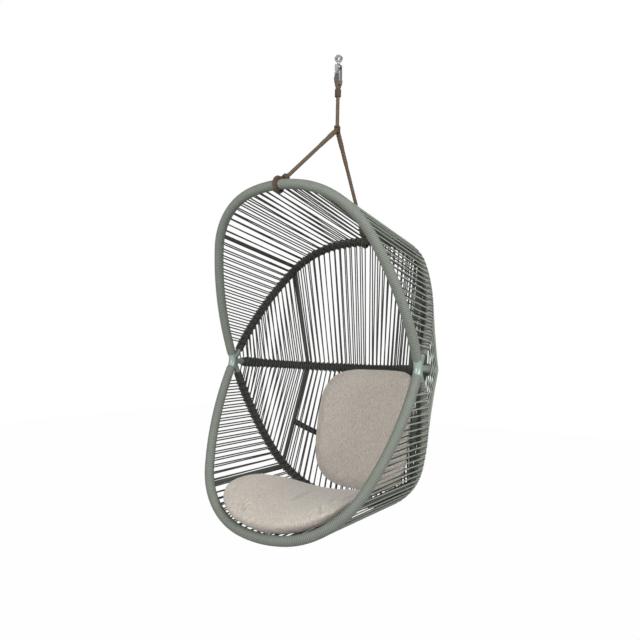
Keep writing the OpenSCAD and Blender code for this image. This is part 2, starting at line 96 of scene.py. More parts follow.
@dataclass(frozen=True)
class ArchLine:
    """Centre line of one bent arch, in millimetres and degrees, from the left hub to the right one."""

    foot_angle: float
    foot: float
    side_radius: float
    side_sweep: float
    shoulder_radius: float
    shoulder_sweep: float
    plane: float
    winding_radius: float
    winding_start: float
    hub_span: float = 900.0

    def _ends(self) -> dict[str, float]:
        """Ends of the foot, the side bend and the shoulder bend, and the crown's radius, on the right half."""
        a0 = math.radians(self.foot_angle)
        a1 = a0 - math.radians(self.side_sweep)
        a2 = a1 - math.radians(self.shoulder_sweep)
        x0 = self.hub_span / 2 + self.foot * math.sin(a0)
        v0 = self.foot * math.cos(a0)
        x1 = x0 + self.side_radius * (math.cos(a1) - math.cos(a0))
        v1 = v0 + self.side_radius * (math.sin(a0) - math.sin(a1))
        x2 = x1 + self.shoulder_radius * (math.cos(a2) - math.cos(a1))
        v2 = v1 + self.shoulder_radius * (math.sin(a1) - math.sin(a2))
        s1 = self.foot + self.side_radius * (a0 - a1)
        s2 = s1 + self.shoulder_radius * (a1 - a2)
        crown = x2 / math.cos(a2)
        return dict(a0=a0, a1=a1, a2=a2, x0=x0, v0=v0, x1=x1, v1=v1, x2=x2, v2=v2, s1=s1, s2=s2, crown=crown)

    @property
    def length(self) -> float:
        """Length of the whole centre line in millimetres."""
        e = self._ends()
        return 2 * (e["s2"] + e["crown"] * (e["a2"] + math.pi / 2))

    def at(self, s: Array) -> tuple[Array, Array]:
        """Points and directions on the centre line, in the hanging frame.

        Each half is a straight foot and three tangent arcs; the heading falls evenly along each arc.

        Args:
            s: distances from the left hub, in millimetres.
        Returns:
            Points in metres and unit directions, both shaped like s with 3 added.
        """
        e = self._ends()
        s = np.asarray(s, float)
        right = s > self.length / 2
        q = np.where(right, self.length - s, s)

        def arc(x: float, v: float, r: float, a: float, start: float) -> tuple[Array, Array, Array]:
            """An arc's position and heading at distance q from the hub."""
            h = a - (q - start) / r
            return x + r * (np.cos(h) - math.cos(a)), v + r * (math.sin(a) - np.sin(h)), h

        straight = (
            self.hub_span / 2 + q * math.sin(e["a0"]),
            q * math.cos(e["a0"]),
            np.full_like(q, e["a0"]),
        )
        parts = [
            straight,
            arc(e["x0"], e["v0"], self.side_radius, e["a0"], self.foot),
            arc(e["x1"], e["v1"], self.shoulder_radius, e["a1"], e["s1"]),
            arc(e["x2"], e["v2"], e["crown"], e["a2"], e["s2"]),
        ]
        tests = [q <= self.foot, q <= e["s1"], q <= e["s2"]]
        x, v, h = (np.select(tests, [p[i] for p in parts[:3]], parts[3][i]) for i in range(3))
        phi = math.radians(self.plane)
        x = np.where(right, x, -x)
        dv = np.where(right, -np.cos(h), np.cos(h))
        point = np.stack([x, -v * math.sin(phi), v * math.cos(phi)], -1) * MM
        way = np.stack([-np.sin(h), -dv * math.sin(phi), dv * math.cos(phi)], -1)
        return HANG.place(point), HANG.turn(way)


STRAND_RADIUS = 2.75
RING_WIND, RING_START, RING_PITCH = 19.0, 33.3, 7.0
INNER_WIND, INNER_START, INNER_PITCH = 17.5, 55.0, 6.4
UPPER_FRONT = ArchLine(0, 33, 1310, 21.5, 335, 56, 19, RING_WIND, RING_START)
UPPER_REAR = ArchLine(-2, 50, 980, 27, 285, 53, -37, INNER_WIND, INNER_START)
MIDDLE = ArchLine(1, 50, 940, 1.5, 205, 46, -99, INNER_WIND, INNER_START)
LOWER_REAR = ArchLine(-3, 50, 1240, 18.5, 345, 50, -160.5, INNER_WIND, INNER_START)
LOWER_FRONT = ArchLine(0, 33, 1220, 21.5, 350, 57.5, 147, RING_WIND, RING_START)


class Mesher:
    """Turns grids of points into Blender meshes."""

    @staticmethod
    def grid(rows: int, columns: int, closed: bool) -> Array:
        """Quads of a grid of points; a closed grid joins its last column to its first.

        Args:
            rows: number of rings.
            columns: points in each ring.
            closed: whether each ring closes on itself.
        Returns:
            Vertex numbers shaped (faces, 4), facing outwards when rings run anticlockwise round the path.
        """
        i = np.arange(rows - 1)[:, None] * columns
        j = np.arange(columns if closed else columns - 1)[None, :]
        k = (j + 1) % columns
        return np.stack([i + j, i + k, i + columns + k, i + columns + j], -1).reshape(-1, 4)

    @staticmethod
    def build(
        name: str,
        points: Array,
        quads: Array,
        tris: Optional[Array] = None,
        uv: Optional[Array] = None,
        tone: Optional[Array] = None,
    ) -> bpy.types.Object:
        """Makes a smooth-shaded object from points, quads and triangles.

        Args:
            name: the piece's name.
            points: vertices shaped (n, 3), in metres.
            quads: faces shaped (m, 4).
            tris: more faces shaped (k, 3).
            uv: one pair for each corner, quads first.
            tone: which of the piece's materials each face has.
        Returns:
            The new object, at the origin.
        """
        tris = np.zeros((0, 3), int) if tris is None else tris
        mesh = bpy.data.meshes.new(name)
        corners = np.concatenate([quads.ravel(), tris.ravel()]).astype(np.int32)
        totals = np.concatenate([np.full(len(quads), 4), np.full(len(tris), 3)]).astype(np.int32)
        starts = np.concatenate([[0], np.cumsum(totals)[:-1]]).astype(np.int32)
        mesh.vertices.add(len(points))
        mesh.vertices.foreach_set("co", np.ascontiguousarray(points, np.float32).ravel())
        mesh.loops.add(len(corners))
        mesh.loops.foreach_set("vertex_index", corners)
        mesh.polygons.add(len(totals))
        mesh.polygons.foreach_set("loop_start", starts)
        mesh.polygons.foreach_set("loop_total", totals)
        mesh.polygons.foreach_set("use_smooth", np.ones(len(totals), bool))
        if uv is not None:
            layer = mesh.uv_layers.new(name="UVMap")
            layer.data.foreach_set("uv", np.ascontiguousarray(uv, np.float32).ravel())
        if tone is not None:
            mesh.polygons.foreach_set("material_index", tone.astype(np.int32))
        mesh.update(calc_edges=True)
        mesh.validate()
        piece = bpy.data.objects.new(name, mesh)
        bpy.context.scene.collection.objects.link(piece)
        return piece

    @staticmethod
    def merge(parts: Sequence[Tube]) -> Tube:
        """Joins several (points, quads, tris, uv) sets; uv covers quads then tris in each and in the result."""
        shift, points, quads, tris, quad_uv, tri_uv = 0, [], [], [], [], []
        for p, q, t, uv in parts:
            points.append(p)
            quads.append(q + shift)
            tris.append(t + shift)
            quad_uv.append(uv[: 4 * len(q)])
            tri_uv.append(uv[4 * len(q) :])
            shift += len(p)
        uvs = np.concatenate(quad_uv + tri_uv)
        return np.concatenate(points), np.concatenate(quads), np.concatenate(tris), uvs


def sweep(centre: Array, normal: Array, side: Array, radius: Array) -> Tube:
    """A tube closed by fans.

    Ring i, corner j lies at centre[i] + radius[i, j] * (cos a * normal[i] + sin a * side[i]).

    Args:
        centre: path points shaped (n, 3).
        normal: unit vectors square to the path.
        side: unit vectors square to the path and to normal.
        radius: distances shaped (n, m), in metres.
    Returns:
        Points, quads, triangles and uv pairs, with u round the tube and v along it, in metres.
    """
    n, m = radius.shape
    a = np.arange(m) * TURN / m
    ring = np.cos(a)[None, :, None] * normal[:, None] + np.sin(a)[None, :, None] * side[:, None]
    points = centre[:, None] + radius[..., None] * ring
    quads = Mesher.grid(n, m, True)
    along = np.concatenate([[0.0], np.cumsum(np.linalg.norm(np.diff(centre, axis=0), axis=1))])
    girth = TURN * float(radius.max())
    u = np.arange(m + 1) / m * girth
    low, high = np.meshgrid(along[:-1], u[:-1], indexing="ij"), np.meshgrid(along[1:], u[1:], indexing="ij")
    uv = np.stack([low[1], low[0], high[1], low[0], high[1], high[0], low[1], high[0]], -1).reshape(-1, 2)
    j = np.arange(m)
    k = (j + 1) % m
    last = (n - 1) * m
    first_fan = np.stack([np.full(m, n * m), k, j], -1)
    last_fan = np.stack([np.full(m, n * m + 1), last + j, last + k], -1)
    points = np.concatenate([points.reshape(-1, 3), centre[:1], centre[-1:]])
    tris = np.concatenate([first_fan, last_fan])
    return points, quads, tris, np.concatenate([uv, np.zeros((6 * m, 2))])


def path_frame(centre: Array, hint: Array) -> tuple[Array, Array]:
    """Normals and sides along a path: the normal is square to the direction and to the hint.

    Args:
        centre: path points shaped (n, 3).
        hint: one vector, or one for each point, never along the path.
    Returns:
        Unit normals and sides shaped (n, 3).
    """
    way = unit(np.gradient(centre, axis=0))
    normal = unit(np.cross(np.broadcast_to(hint, way.shape), way))
    return normal, np.cross(way, normal)


# ---------------------------------------------------------------- shader helpers


class Wire:
    """A shader socket that takes part in arithmetic; each operation adds a Math node."""

    def __init__(self, desk: "Desk", socket: bpy.types.NodeSocket) -> None:
        """Keeps the socket and the material it belongs to."""
        self.desk = desk
        self.socket = socket

    def _math(self, operation: str, a: Union["Wire", Number], b: Union["Wire", Number]) -> "Wire":
        """One Math node on two values."""
        return self.desk.node("ShaderNodeMath", {"operation": operation}, {0: a, 1: b})

    def __add__(self, other: Union["Wire", Number]) -> "Wire":
        """self + other."""
        return self._math("ADD", self, other)

    __radd__ = __add__

    def __mul__(self, other: Union["Wire", Number]) -> "Wire":
        """self * other."""
        return self._math("MULTIPLY", self, other)

    __rmul__ = __mul__

    def __sub__(self, other: Union["Wire", Number]) -> "Wire":
        """self - other."""
        return self._math("SUBTRACT", self, other)

    def __rsub__(self, other: Union["Wire", Number]) -> "Wire":
        """other - self."""
        return self._math("SUBTRACT", other, self)

    def __pow__(self, other: Union["Wire", Number]) -> "Wire":
        """self ** other."""
        return self._math("POWER", self, other)

    def largest(self, other: "Wire") -> "Wire":
        """The larger of two values."""
        return self._math("MAXIMUM", self, other)

    def sine(self) -> "Wire":
        """sin of the value, in radians."""
        return self._math("SINE", self, 0.0)

    def clamp(self) -> "Wire":
        """The value held between 0 and 1."""
        return self.desk.node("ShaderNodeClamp", {}, {"Value": self})


class Desk:
    """One material or world being wired: every node comes from its node method."""

    def __init__(self, name: str, world: bool = False) -> None:
        """Starts an empty node tree with an output."""
        self.owner = (bpy.data.worlds if world else bpy.data.materials).new(name)
        self.owner.use_nodes = True
        self.tree = self.owner.node_tree
        self.tree.nodes.clear()
        self.output = self.tree.nodes.new("ShaderNodeOutputWorld" if world else "ShaderNodeOutputMaterial")

    def node(self, kind: str, settings: dict, values: dict, out: Union[str, int] = 0) -> Wire:
        """Adds a node, sets it up and links or fills its sockets.

        Args:
            kind: Blender's node type.
            settings: attributes set first, such as a Math node's operation.
            values: socket name or number to a wire, number or tuple.
            out: the output wanted.
        Returns:
            A wire on that output.
        """
        made = self.tree.nodes.new(kind)
        for key, value in settings.items():
            setattr(made, key, value)
        for key, value in values.items():
            socket = made.inputs[key]
            if isinstance(value, Wire):
                self.tree.links.new(value.socket, socket)
            else:
                socket.default_value = value
        return Wire(self, made.outputs[out])

    def place(self, scale: Sequence[float] = (1, 1, 1)) -> Wire:
        """Object coordinates, scaled."""
        spot = self.node("ShaderNodeTexCoord", {}, {}, "Object")
        return self.node("ShaderNodeMapping", {}, {"Vector": spot, "Scale": tuple(scale)})

    def noise(self, where: Wire, scale: float, detail: float = 2.0, rough: float = 0.5) -> Wire:
        """Noise from 0 to 1, scale in cycles a metre."""
        values = {"Vector": where, "Scale": scale, "Detail": detail, "Roughness": rough}
        return self.node("ShaderNodeTexNoise", {}, values)

    def span(self, value: Wire, lowest: float, highest: float, start: float, stop: float) -> Wire:
        """A value from lowest to highest made to run from start to stop."""
        return self.node("ShaderNodeMapRange", {}, {0: value, 1: lowest, 2: highest, 3: start, 4: stop})

    def mix(self, amount: Union[Wire, Number], a: Union[Wire, tuple], b: Union[Wire, tuple]) -> Wire:
        """Colour a going to colour b."""
        return self.node("ShaderNodeMix", {"data_type": "RGBA"}, {0: amount, 6: a, 7: b}, 2)

    def split(self, vector: Wire) -> tuple[Wire, Wire, Wire]:
        """The three parts of a vector."""
        first = self.node("ShaderNodeSeparateXYZ", {}, {0: vector})
        return tuple(Wire(self, out) for out in first.socket.node.outputs)

    def uv(self) -> tuple[Wire, Wire]:
        """The piece's own coordinates: round it, and along it."""
        return self.split(self.node("ShaderNodeTexCoord", {}, {}, "UV"))[:2]

    def close(self, shader: Wire) -> None:
        """Links a shader to the output."""
        self.tree.links.new(shader.socket, self.output.inputs["Surface"])

    def finish(self, values: dict, height: Wire, strength: float, distance: float) -> bpy.types.Material:
        """Closes the material with a Principled shader and a bump.

        Args:
            values: the shader's sockets.
            height: the bump's height.
            strength: how much of the bump shows.
            distance: the bump's depth in metres.
        Returns:
            The material.
        """
        bump = self.node("ShaderNodeBump", {}, {"Height": height, "Strength": strength, "Distance": distance})
        self.close(self.node("ShaderNodeBsdfPrincipled", {}, {**values, "Normal": bump}))
        return self.owner


def rgb(r: float, g: float, b: float) -> Hue:
    """Screen colour from 0 to 255 as linear light with alpha."""
    def line(c: float) -> float:
        """One channel by the sRGB curve."""
        c /= 255.0
        return c / 12.92 if c <= 0.04045 else ((c + 0.055) / 1.055) ** 2.4
    return line(r), line(g), line(b), 1.0


def shade(colour: Hue, factor: float) -> Hue:
    """A colour made lighter or darker by a factor."""
    return tuple(c * factor for c in colour[:3]) + (1.0,)


@dataclass(frozen=True)
class CordFinish:
    """Braided outdoor cord: matt, slightly mottled, with a fine diagonal braid along its own coordinates."""

    name: str
    colour: Hue
    braid: float = 0.0032
    roughness: float = 0.62
    bump: float = 0.35
    # Painted light: a lighter colour for the side that faces out of the shell, where the lamps light it.
    lit_colour: Optional[Hue] = None
    radius: float = 1.0
    # pitch and start place painted shade in the grooves of a winding.
    pitch: Optional[float] = None
    start: float = 0.0

    def make(self) -> bpy.types.Material:
        """Builds the material.

        The lit colour is painted light: it lies on the side that faces out of the shell, and the darker colour
        stays on the side that faces in, as painted shade. On a winding, painted shade darkens the grooves: one
        turn goes round for each pitch along, so the groove is where along / pitch + around / girth is a whole
        number.
        """
        desk = Desk(self.name)
        around, along = desk.uv()
        step = TURN / self.braid
        weave = ((around + along) * step).sine() * ((around - along) * step).sine()
        cloud = desk.noise(desk.place(), 38.0, 3.0)
        fine = desk.noise(desk.place(), 900.0, 2.0)
        amount = (cloud * 0.6 + weave * 0.12 + fine * 0.3).clamp()
        tone = desk.mix(amount, shade(self.colour, 0.8), shade(self.colour, 1.22))
        # Painted light and shade: the side facing out of the shell gets the lighter lit colour, and the side
        # facing in keeps the darker colour.
        if self.lit_colour is not None:
            outer = desk.mix(amount, shade(self.lit_colour, 0.8), shade(self.lit_colour, 1.22))
            lit_side = ((around * (1.0 / self.radius) + math.pi / 2).sine() * 1.6 + 0.5).clamp()
            tone = desk.mix(lit_side, tone, outer)
        # Painted shade: the grooves between the turns are darkened towards 0.3 of the colour.
        if self.pitch is not None:
            phase = (along + self.start) * (1.0 / self.pitch) + around * (1.0 / (TURN * self.radius))
            groove = ((phase * TURN + math.pi / 2).sine() * 0.5 + 0.5) ** 2.0
            tone = desk.mix(groove * 0.72, tone, shade(self.colour, 0.3))
        rough = desk.span(fine, 0.0, 1.0, self.roughness - 0.08, self.roughness + 0.08)
        values = {"Base Color": tone, "Roughness": rough, "Specular IOR Level": 0.42}
        return desk.finish(values, weave * 0.5 + fine * 0.5, self.bump, 0.0006)


@dataclass(frozen=True)
class PaintFinish:
    """Powder-coated or gloss-coated metal: faint orange peel and small changes of tone."""

    name: str
    colour: Hue
    roughness: float = 0.3
    coat: float = 0.4

    def make(self) -> bpy.types.Material:
        """Builds the material."""
        desk = Desk(self.name)
        spot = desk.place()
        peel = desk.noise(spot, 420.0, 2.0)
        cloud = desk.noise(spot, 14.0, 3.0)
        tone = desk.mix(cloud, shade(self.colour, 0.93), shade(self.colour, 1.07))
        rough = desk.span(cloud, 0.3, 0.7, self.roughness - 0.04, self.roughness + 0.05)
        values = {"Base Color": tone, "Roughness": rough, "Coat Weight": self.coat, "Coat Roughness": 0.12}
        return desk.finish(values, peel, 0.12, 0.0004)


@dataclass(frozen=True)
class ClothFinish:
    """Melange upholstery cloth: a fine weave of pale and darker yarns, a faint twill and a soft sheen."""

    name: str
    colour: Hue
    yarn: float = 0.0017
    twill: float = 0.0062

    def make(self) -> bpy.types.Material:
        """Builds the material."""
        desk = Desk(self.name)
        x, y, z = desk.split(desk.place())
        step = TURN / self.yarn
        warp = (x * step).sine()
        weft = ((y * 0.94 + z * 0.94) * step).sine()
        weave = warp * weft
        twill = ((x + (y + z) * 0.9) * (TURN / self.twill)).sine()
        speck = desk.noise(desk.place(), 300.0, 3.0, 0.75)
        slub = desk.noise(desk.place((1.0, 0.3, 0.3)), 260.0, 2.0)
        cloud = desk.noise(desk.place(), 7.0, 2.0)
        mixed = (speck * 2.6 + slub * 1.2 + weave * 0.12 + twill * 0.1 + cloud * 0.25 - 1.6).clamp()
        tone = desk.mix(mixed, shade(self.colour, 0.66), shade(self.colour, 1.26))
        height = weave * 0.4 + speck * 0.8 + slub * 0.4
        values = {"Base Color": tone, "Roughness": 0.92, "Specular IOR Level": 0.18}
        values.update({"Sheen Weight": 0.25, "Sheen Roughness": 0.5})
        return desk.finish(values, height, 0.45, 0.0007)


@dataclass(frozen=True)
class RopeFinish:
    """Laid rope: three twisted strands of dull fibre, each with fine yarns along the lay."""

    name: str
    colour: Hue
    yarn: float = 0.0019

    def make(self) -> bpy.types.Material:
        """Builds the material."""
        desk = Desk(self.name)
        around, along = desk.uv()
        yarns = ((around + along * 0.75) * (TURN / self.yarn)).sine()
        fuzz = desk.noise(desk.place(), 620.0, 3.0, 0.65)
        cloud = desk.noise(desk.place(), 30.0, 2.0)
        mixed = (fuzz * 0.9 + yarns * 0.15 + cloud * 0.4 - 0.2).clamp()
        tone = desk.mix(mixed, shade(self.colour, 0.55), shade(self.colour, 1.4))
        values = {"Base Color": tone, "Roughness": 0.85, "Specular IOR Level": 0.25}
        return desk.finish(values, yarns * 0.5 + fuzz * 0.8, 0.5, 0.0008)


@dataclass(frozen=True)
class SteelFinish:
    """Brushed or turned steel with fine marks and a satin gloss."""

    name: str
    colour: Hue
    roughness: float = 0.34

    def make(self) -> bpy.types.Material:
        """Builds the material."""
        desk = Desk(self.name)
        marks = desk.noise(desk.place((1.0, 1.0, 14.0)), 260.0, 3.0)
        cloud = desk.noise(desk.place(), 60.0, 2.0)
        tone = desk.mix(marks, shade(self.colour, 0.86), shade(self.colour, 1.1))
        rough = desk.span(cloud, 0.2, 0.8, self.roughness - 0.07, self.roughness + 0.1)
        return desk.finish({"Base Color": tone, "Roughness": rough, "Metallic": 0.92}, marks, 0.08, 0.0003)


class Shelf(Enum):
    """The chair's finishes, by what they are used on."""

    # Cords with a pitch get painted shade in the grooves between their turns.
    RING_CORD = CordFinish(
        "ring cord", rgb(120, 126, 117), radius=RING_WIND * MM, pitch=RING_PITCH * MM, start=RING_START * MM
    )
    # Its second colour is painted light, laid on the outward side of the arch winding.
    INNER_CORD = CordFinish(
        "inner cord", rgb(58, 61, 55), bump=0.45, lit_colour=rgb(126, 131, 122),
        radius=INNER_WIND * MM, pitch=INNER_PITCH * MM, start=INNER_START * MM,
    )
    PANEL_CORD = CordFinish("panel cord", rgb(64, 67, 61))
    # Its second colour is painted light, laid on the outward side of each outer run.
    OUTER_CORD = CordFinish(
        "outer panel cord", rgb(64, 67, 61), lit_colour=rgb(140, 146, 136), radius=STRAND_RADIUS * MM,
    )
    RIB_CORD = CordFinish("rib cord", rgb(74, 79, 72))
    LUMBAR_CORD = CordFinish("lumbar cord", rgb(48, 50, 46))
    HUB_PAINT = PaintFinish("hub paint", rgb(132, 149, 140), 0.26, 0.6)
    TUBE_PAINT = PaintFinish("tube paint", rgb(112, 124, 115), 0.38, 0.25)
    CUSHION = ClothFinish("cushion cloth", rgb(181, 173, 163))
    ROPE = RopeFinish("rope", rgb(104, 88, 74))
    BINDING = RopeFinish("rope binding", rgb(86, 72, 60), 0.0016)
    STEEL = SteelFinish("hanger steel", rgb(168, 170, 172))
    PIN = SteelFinish("pin steel", rgb(188, 190, 192), 0.26)


_made: dict[Shelf, bpy.types.Material] = {}


def dress(piece: bpy.types.Object, *finishes: Shelf) -> bpy.types.Object:
    """Gives a piece its finishes, in the order that its faces number them."""
    if len(piece.data.materials):
        piece.data.materials.clear()
    for finish in finishes:
        if finish not in _made:
            _made[finish] = finish.value.make()
        piece.data.materials.append(_made[finish])
    return piece


def settle(
    piece: bpy.types.Object, finish: Union[Shelf, tuple[Shelf, ...]], slot: str, *nodes: str
) -> bpy.types.Object:
    """Dresses a piece, sets it on the chair's body and lets it stand for CAD nodes."""
    dress(piece, *(finish if isinstance(finish, tuple) else (finish,)))
    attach(piece, "chair")
    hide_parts(*nodes)
    LOG.info("%s: %d vertices, for %s", piece.name, len(piece.data.vertices), ", ".join(nodes))
    return piece


# ---------------------------------------------------------------- wound tubes


@dataclass
class Winding:
    """Cord wound tightly round a tube: a helix of half-round turns that closes on the tube at both ends."""

    pitch: float = RING_PITCH
    rise: float = 2.0
    steps: int = 6
    corners: int = 26
    roundness: float = 0.94
    end_round: float = 2.5

    def radius(self, along: Array, outer: float) -> Array:
        """Distance from the path: each turn is a half round that moves on by one pitch a turn.

        Args:
            along: distances along the path, in millimetres.
            outer: radius at the top of a turn.
        Returns:
            Radii shaped (len(along), corners), in metres.
        """
        a = np.arange(self.corners) / self.corners
        phase = along[:, None] / self.pitch + a[None, :]
        u = 2.0 * (phase - np.floor(phase)) - 1.0
        return (outer - self.rise * (1.0 - np.sqrt(1.0 - self.roundness * u * u))) * MM

    def cover(
        self, name: str, at: Line, start: float, stop: float, outer: float, inner: float
    ) -> bpy.types.Object:
        """Makes the wound sleeve along a path.

        Args:
            name: the piece's name.
            at: gives points and directions for distances along the path in millimetres.
            start: distance where the winding begins.
            stop: distance where it ends.
            outer: radius over the turns.
            inner: radius of the tube it sits on.
        Returns:
            The new object.
        """
        count = int(round((stop - start) / self.pitch * self.steps))
        s = np.linspace(start, stop, count)
        centre, way = at(s)
        radius = self.radius(s, outer)
        edge = np.minimum(1.0, np.minimum(s - start, stop - s) / self.end_round)[:, None]
        radius = inner * MM + (radius - inner * MM) * np.sqrt(np.clip(1 - (1 - edge) ** 2, 0.0, 1.0))
        middle = len(centre) // 2
        plane = np.cross(centre[0] - centre[-1], centre[middle] - centre[0])
        straight = np.linalg.norm(plane) < STRAIGHT
        normal = unit(np.cross(ASKEW if straight else unit(plane + TINY), way))
        if np.dot(normal[middle], centre[middle] - (centre[0] + centre[-1]) / 2) < 0:
            normal = -normal
        return Mesher.build(name, *sweep(centre, normal, np.cross(way, normal), radius))


@dataclass
class Frame:
    """The arches, hubs, ribs and lumbar bar, in millimetres."""

    ring_tube: float = 14.0
    inner_tube: float = 12.5
    sleeve_gap: float = 0.1
    rib_share: float = 0.3
    back_rib_share: float = 0.294
    rib_radius: float = 8.5
    rib_sunk: float = 2.5
    rib_core: float = 3.0
    lumbar_radius: float = 13.0
    lumbar_share: float = 0.57
    lumbar_sunk: float = 4.0
    lumbar_core: float = 6.0
    hub_radius: float = 17.0
    hub_rings: int = 60
    hub_corners: int = 40
    lip_rise: float = 0.55
    lip_width: float = 5.0
    front_foot: float = 33.0

    def build(self) -> None:
        """Makes every wound sleeve and bar of the frame."""
        self.wraps()
        self.ribs()
        self.lumbar()
        self.hubs()

    def wraps(self) -> None:
        """Winds cord on the five arches, each from one hub to the other, and paints the tubes."""
        rows = [
            ("upper_front", UPPER_FRONT, self.ring_tube, Shelf.RING_CORD, "ring_cord"),
            ("lower_front", LOWER_FRONT, self.ring_tube, Shelf.RING_CORD, "ring_cord"),
            ("upper_rear", UPPER_REAR, self.inner_tube, Shelf.INNER_CORD, "inner_cord"),
            ("middle", MIDDLE, self.inner_tube, Shelf.INNER_CORD, "inner_cord"),
            ("lower_rear", LOWER_REAR, self.inner_tube, Shelf.INNER_CORD, "inner_cord"),
        ]
        for name, line, tube, finish, slot in rows:
            winding = Winding() if slot == "ring_cord" else Winding(pitch=INNER_PITCH, rise=1.9)
            start, outer, inner = line.winding_start, line.winding_radius, tube + self.sleeve_gap
            piece = winding.cover(f"{name}_winding", line.at, start, line.length - start, outer, inner)
            settle(piece, finish, slot, f"{name}_wrap")
            dress(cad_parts[f"{name}_arch"], Shelf.TUBE_PAINT)

    def ribs(self) -> None:
        """Winds fine cord on the eight straight ribs between neighbouring arches."""
        rows = [
            ("top_rib", UPPER_FRONT, UPPER_REAR, self.rib_share),
            ("upper_back_rib", UPPER_REAR, MIDDLE, self.back_rib_share),
            ("lower_back_rib", MIDDLE, LOWER_REAR, self.back_rib_share),
            ("seat_rib", LOWER_REAR, LOWER_FRONT, self.rib_share),
        ]
        for name, first, second, share in rows:
            for side, t in (("left", share), ("right", 1 - share)):
                a = first.at(np.array([t * first.length]))[0][0]
                b = second.at(np.array([t * second.length]))[0][0]
                span = float(np.linalg.norm(b - a)) / MM
                u = (b - a) / (span * MM)

                def at(s: Array, a: Array = a, u: Array = u) -> tuple[Array, Array]:
                    """Points and directions along this rib."""
                    return a + s[:, None] * MM * u, np.broadcast_to(u, (len(s), 3))

                start, stop = first.winding_radius - self.rib_sunk, span - second.winding_radius + self.rib_sunk
                winding = Winding(pitch=5.2, rise=0.9, corners=18)
                piece = winding.cover(f"{side}_{name}_winding", at, start, stop, self.rib_radius, self.rib_core)
                settle(piece, Shelf.RIB_CORD, "rib_tube", f"{side}_{name}")

    def lumbar(self) -> None:
        """Bends the lumbar bar through the two lower back ribs and the middle of the back panel."""
        t = np.array([self.back_rib_share, 0.5, 1 - self.back_rib_share])
        upper, lower = MIDDLE.at(t * MIDDLE.length)[0], LOWER_REAR.at(t * LOWER_REAR.length)[0]
        left, mid, right = upper * (1 - self.lumbar_share) + lower * self.lumbar_share
        half_span = (right - left) / 2
        c = float(np.linalg.norm(half_span))
        rise = mid - (left + right) / 2
        s = float(np.linalg.norm(rise))
        r = (c * c + s * s) / (2 * s)
        x, y = half_span / c, rise / s
        middle = mid - y * r
        half = math.asin(c / r)

        def at(q: Array) -> tuple[Array, Array]:
            """Points and directions on the bar's arc."""
            a = q[:, None] * MM / r - half
            return middle + r * (np.sin(a) * x + np.cos(a) * y), np.cos(a) * x - np.sin(a) * y

        length = 2 * half * r / MM
        start, stop = self.rib_radius - self.lumbar_sunk, length - self.rib_radius + self.lumbar_sunk
        winding = Winding(rise=1.6, corners=22)
        piece = winding.cover("lumbar_bar_winding", at, start, stop, self.lumbar_radius, self.lumbar_core)
        settle(piece, Shelf.LUMBAR_CORD, "inner_tube", "lumbar_bar")

    def hubs(self) -> None:
        """Sweeps each hub's bare elbow: an arc between the feet of the two front arches, with lipped ends."""
        turn = math.radians(180 - (LOWER_FRONT.plane - UPPER_FRONT.plane))
        bend = self.front_foot / math.tan(turn / 2)
        mid = math.radians((UPPER_FRONT.plane + LOWER_FRONT.plane) / 2)
        reach = bend / math.cos(turn / 2)
        out = np.array([0.0, -math.sin(mid), math.cos(mid)])
        across = np.array([0.0, math.cos(mid), math.sin(mid)])
        a = np.linspace(-turn / 2, turn / 2, self.hub_rings)[:, None]
        s = (a[:, 0] + turn / 2) * bend
        edge = np.minimum(s, turn * bend - s)
        lip = self.lip_rise * (1 / (1 + np.exp((edge - self.lip_width) * 2.2)))
        tip = np.sqrt(np.clip(1 - (1 - np.minimum(1.0, edge / 1.2)) ** 2, 0.0, 1.0))
        radius = (self.hub_radius - self.lip_rise + lip - (1 - tip))[:, None] * MM
        radius = radius * np.ones((1, self.hub_corners))
        half_span = UPPER_FRONT.hub_span / 2
        for name, x in (("left_hub", -half_span), ("right_hub", half_span)):
            centre = np.array([x, 0.0, 0.0]) + out * reach - bend * (np.cos(a) * out + np.sin(a) * across)
            centre = HANG.place(centre * MM)
            normal, side = path_frame(centre, X_WAY)
            piece = Mesher.build(f"{name}_elbow", *sweep(centre, normal, side, radius))
            settle(piece, Shelf.HUB_PAINT, "hub_paint", name)


# ---------------------------------------------------------------- strung panels


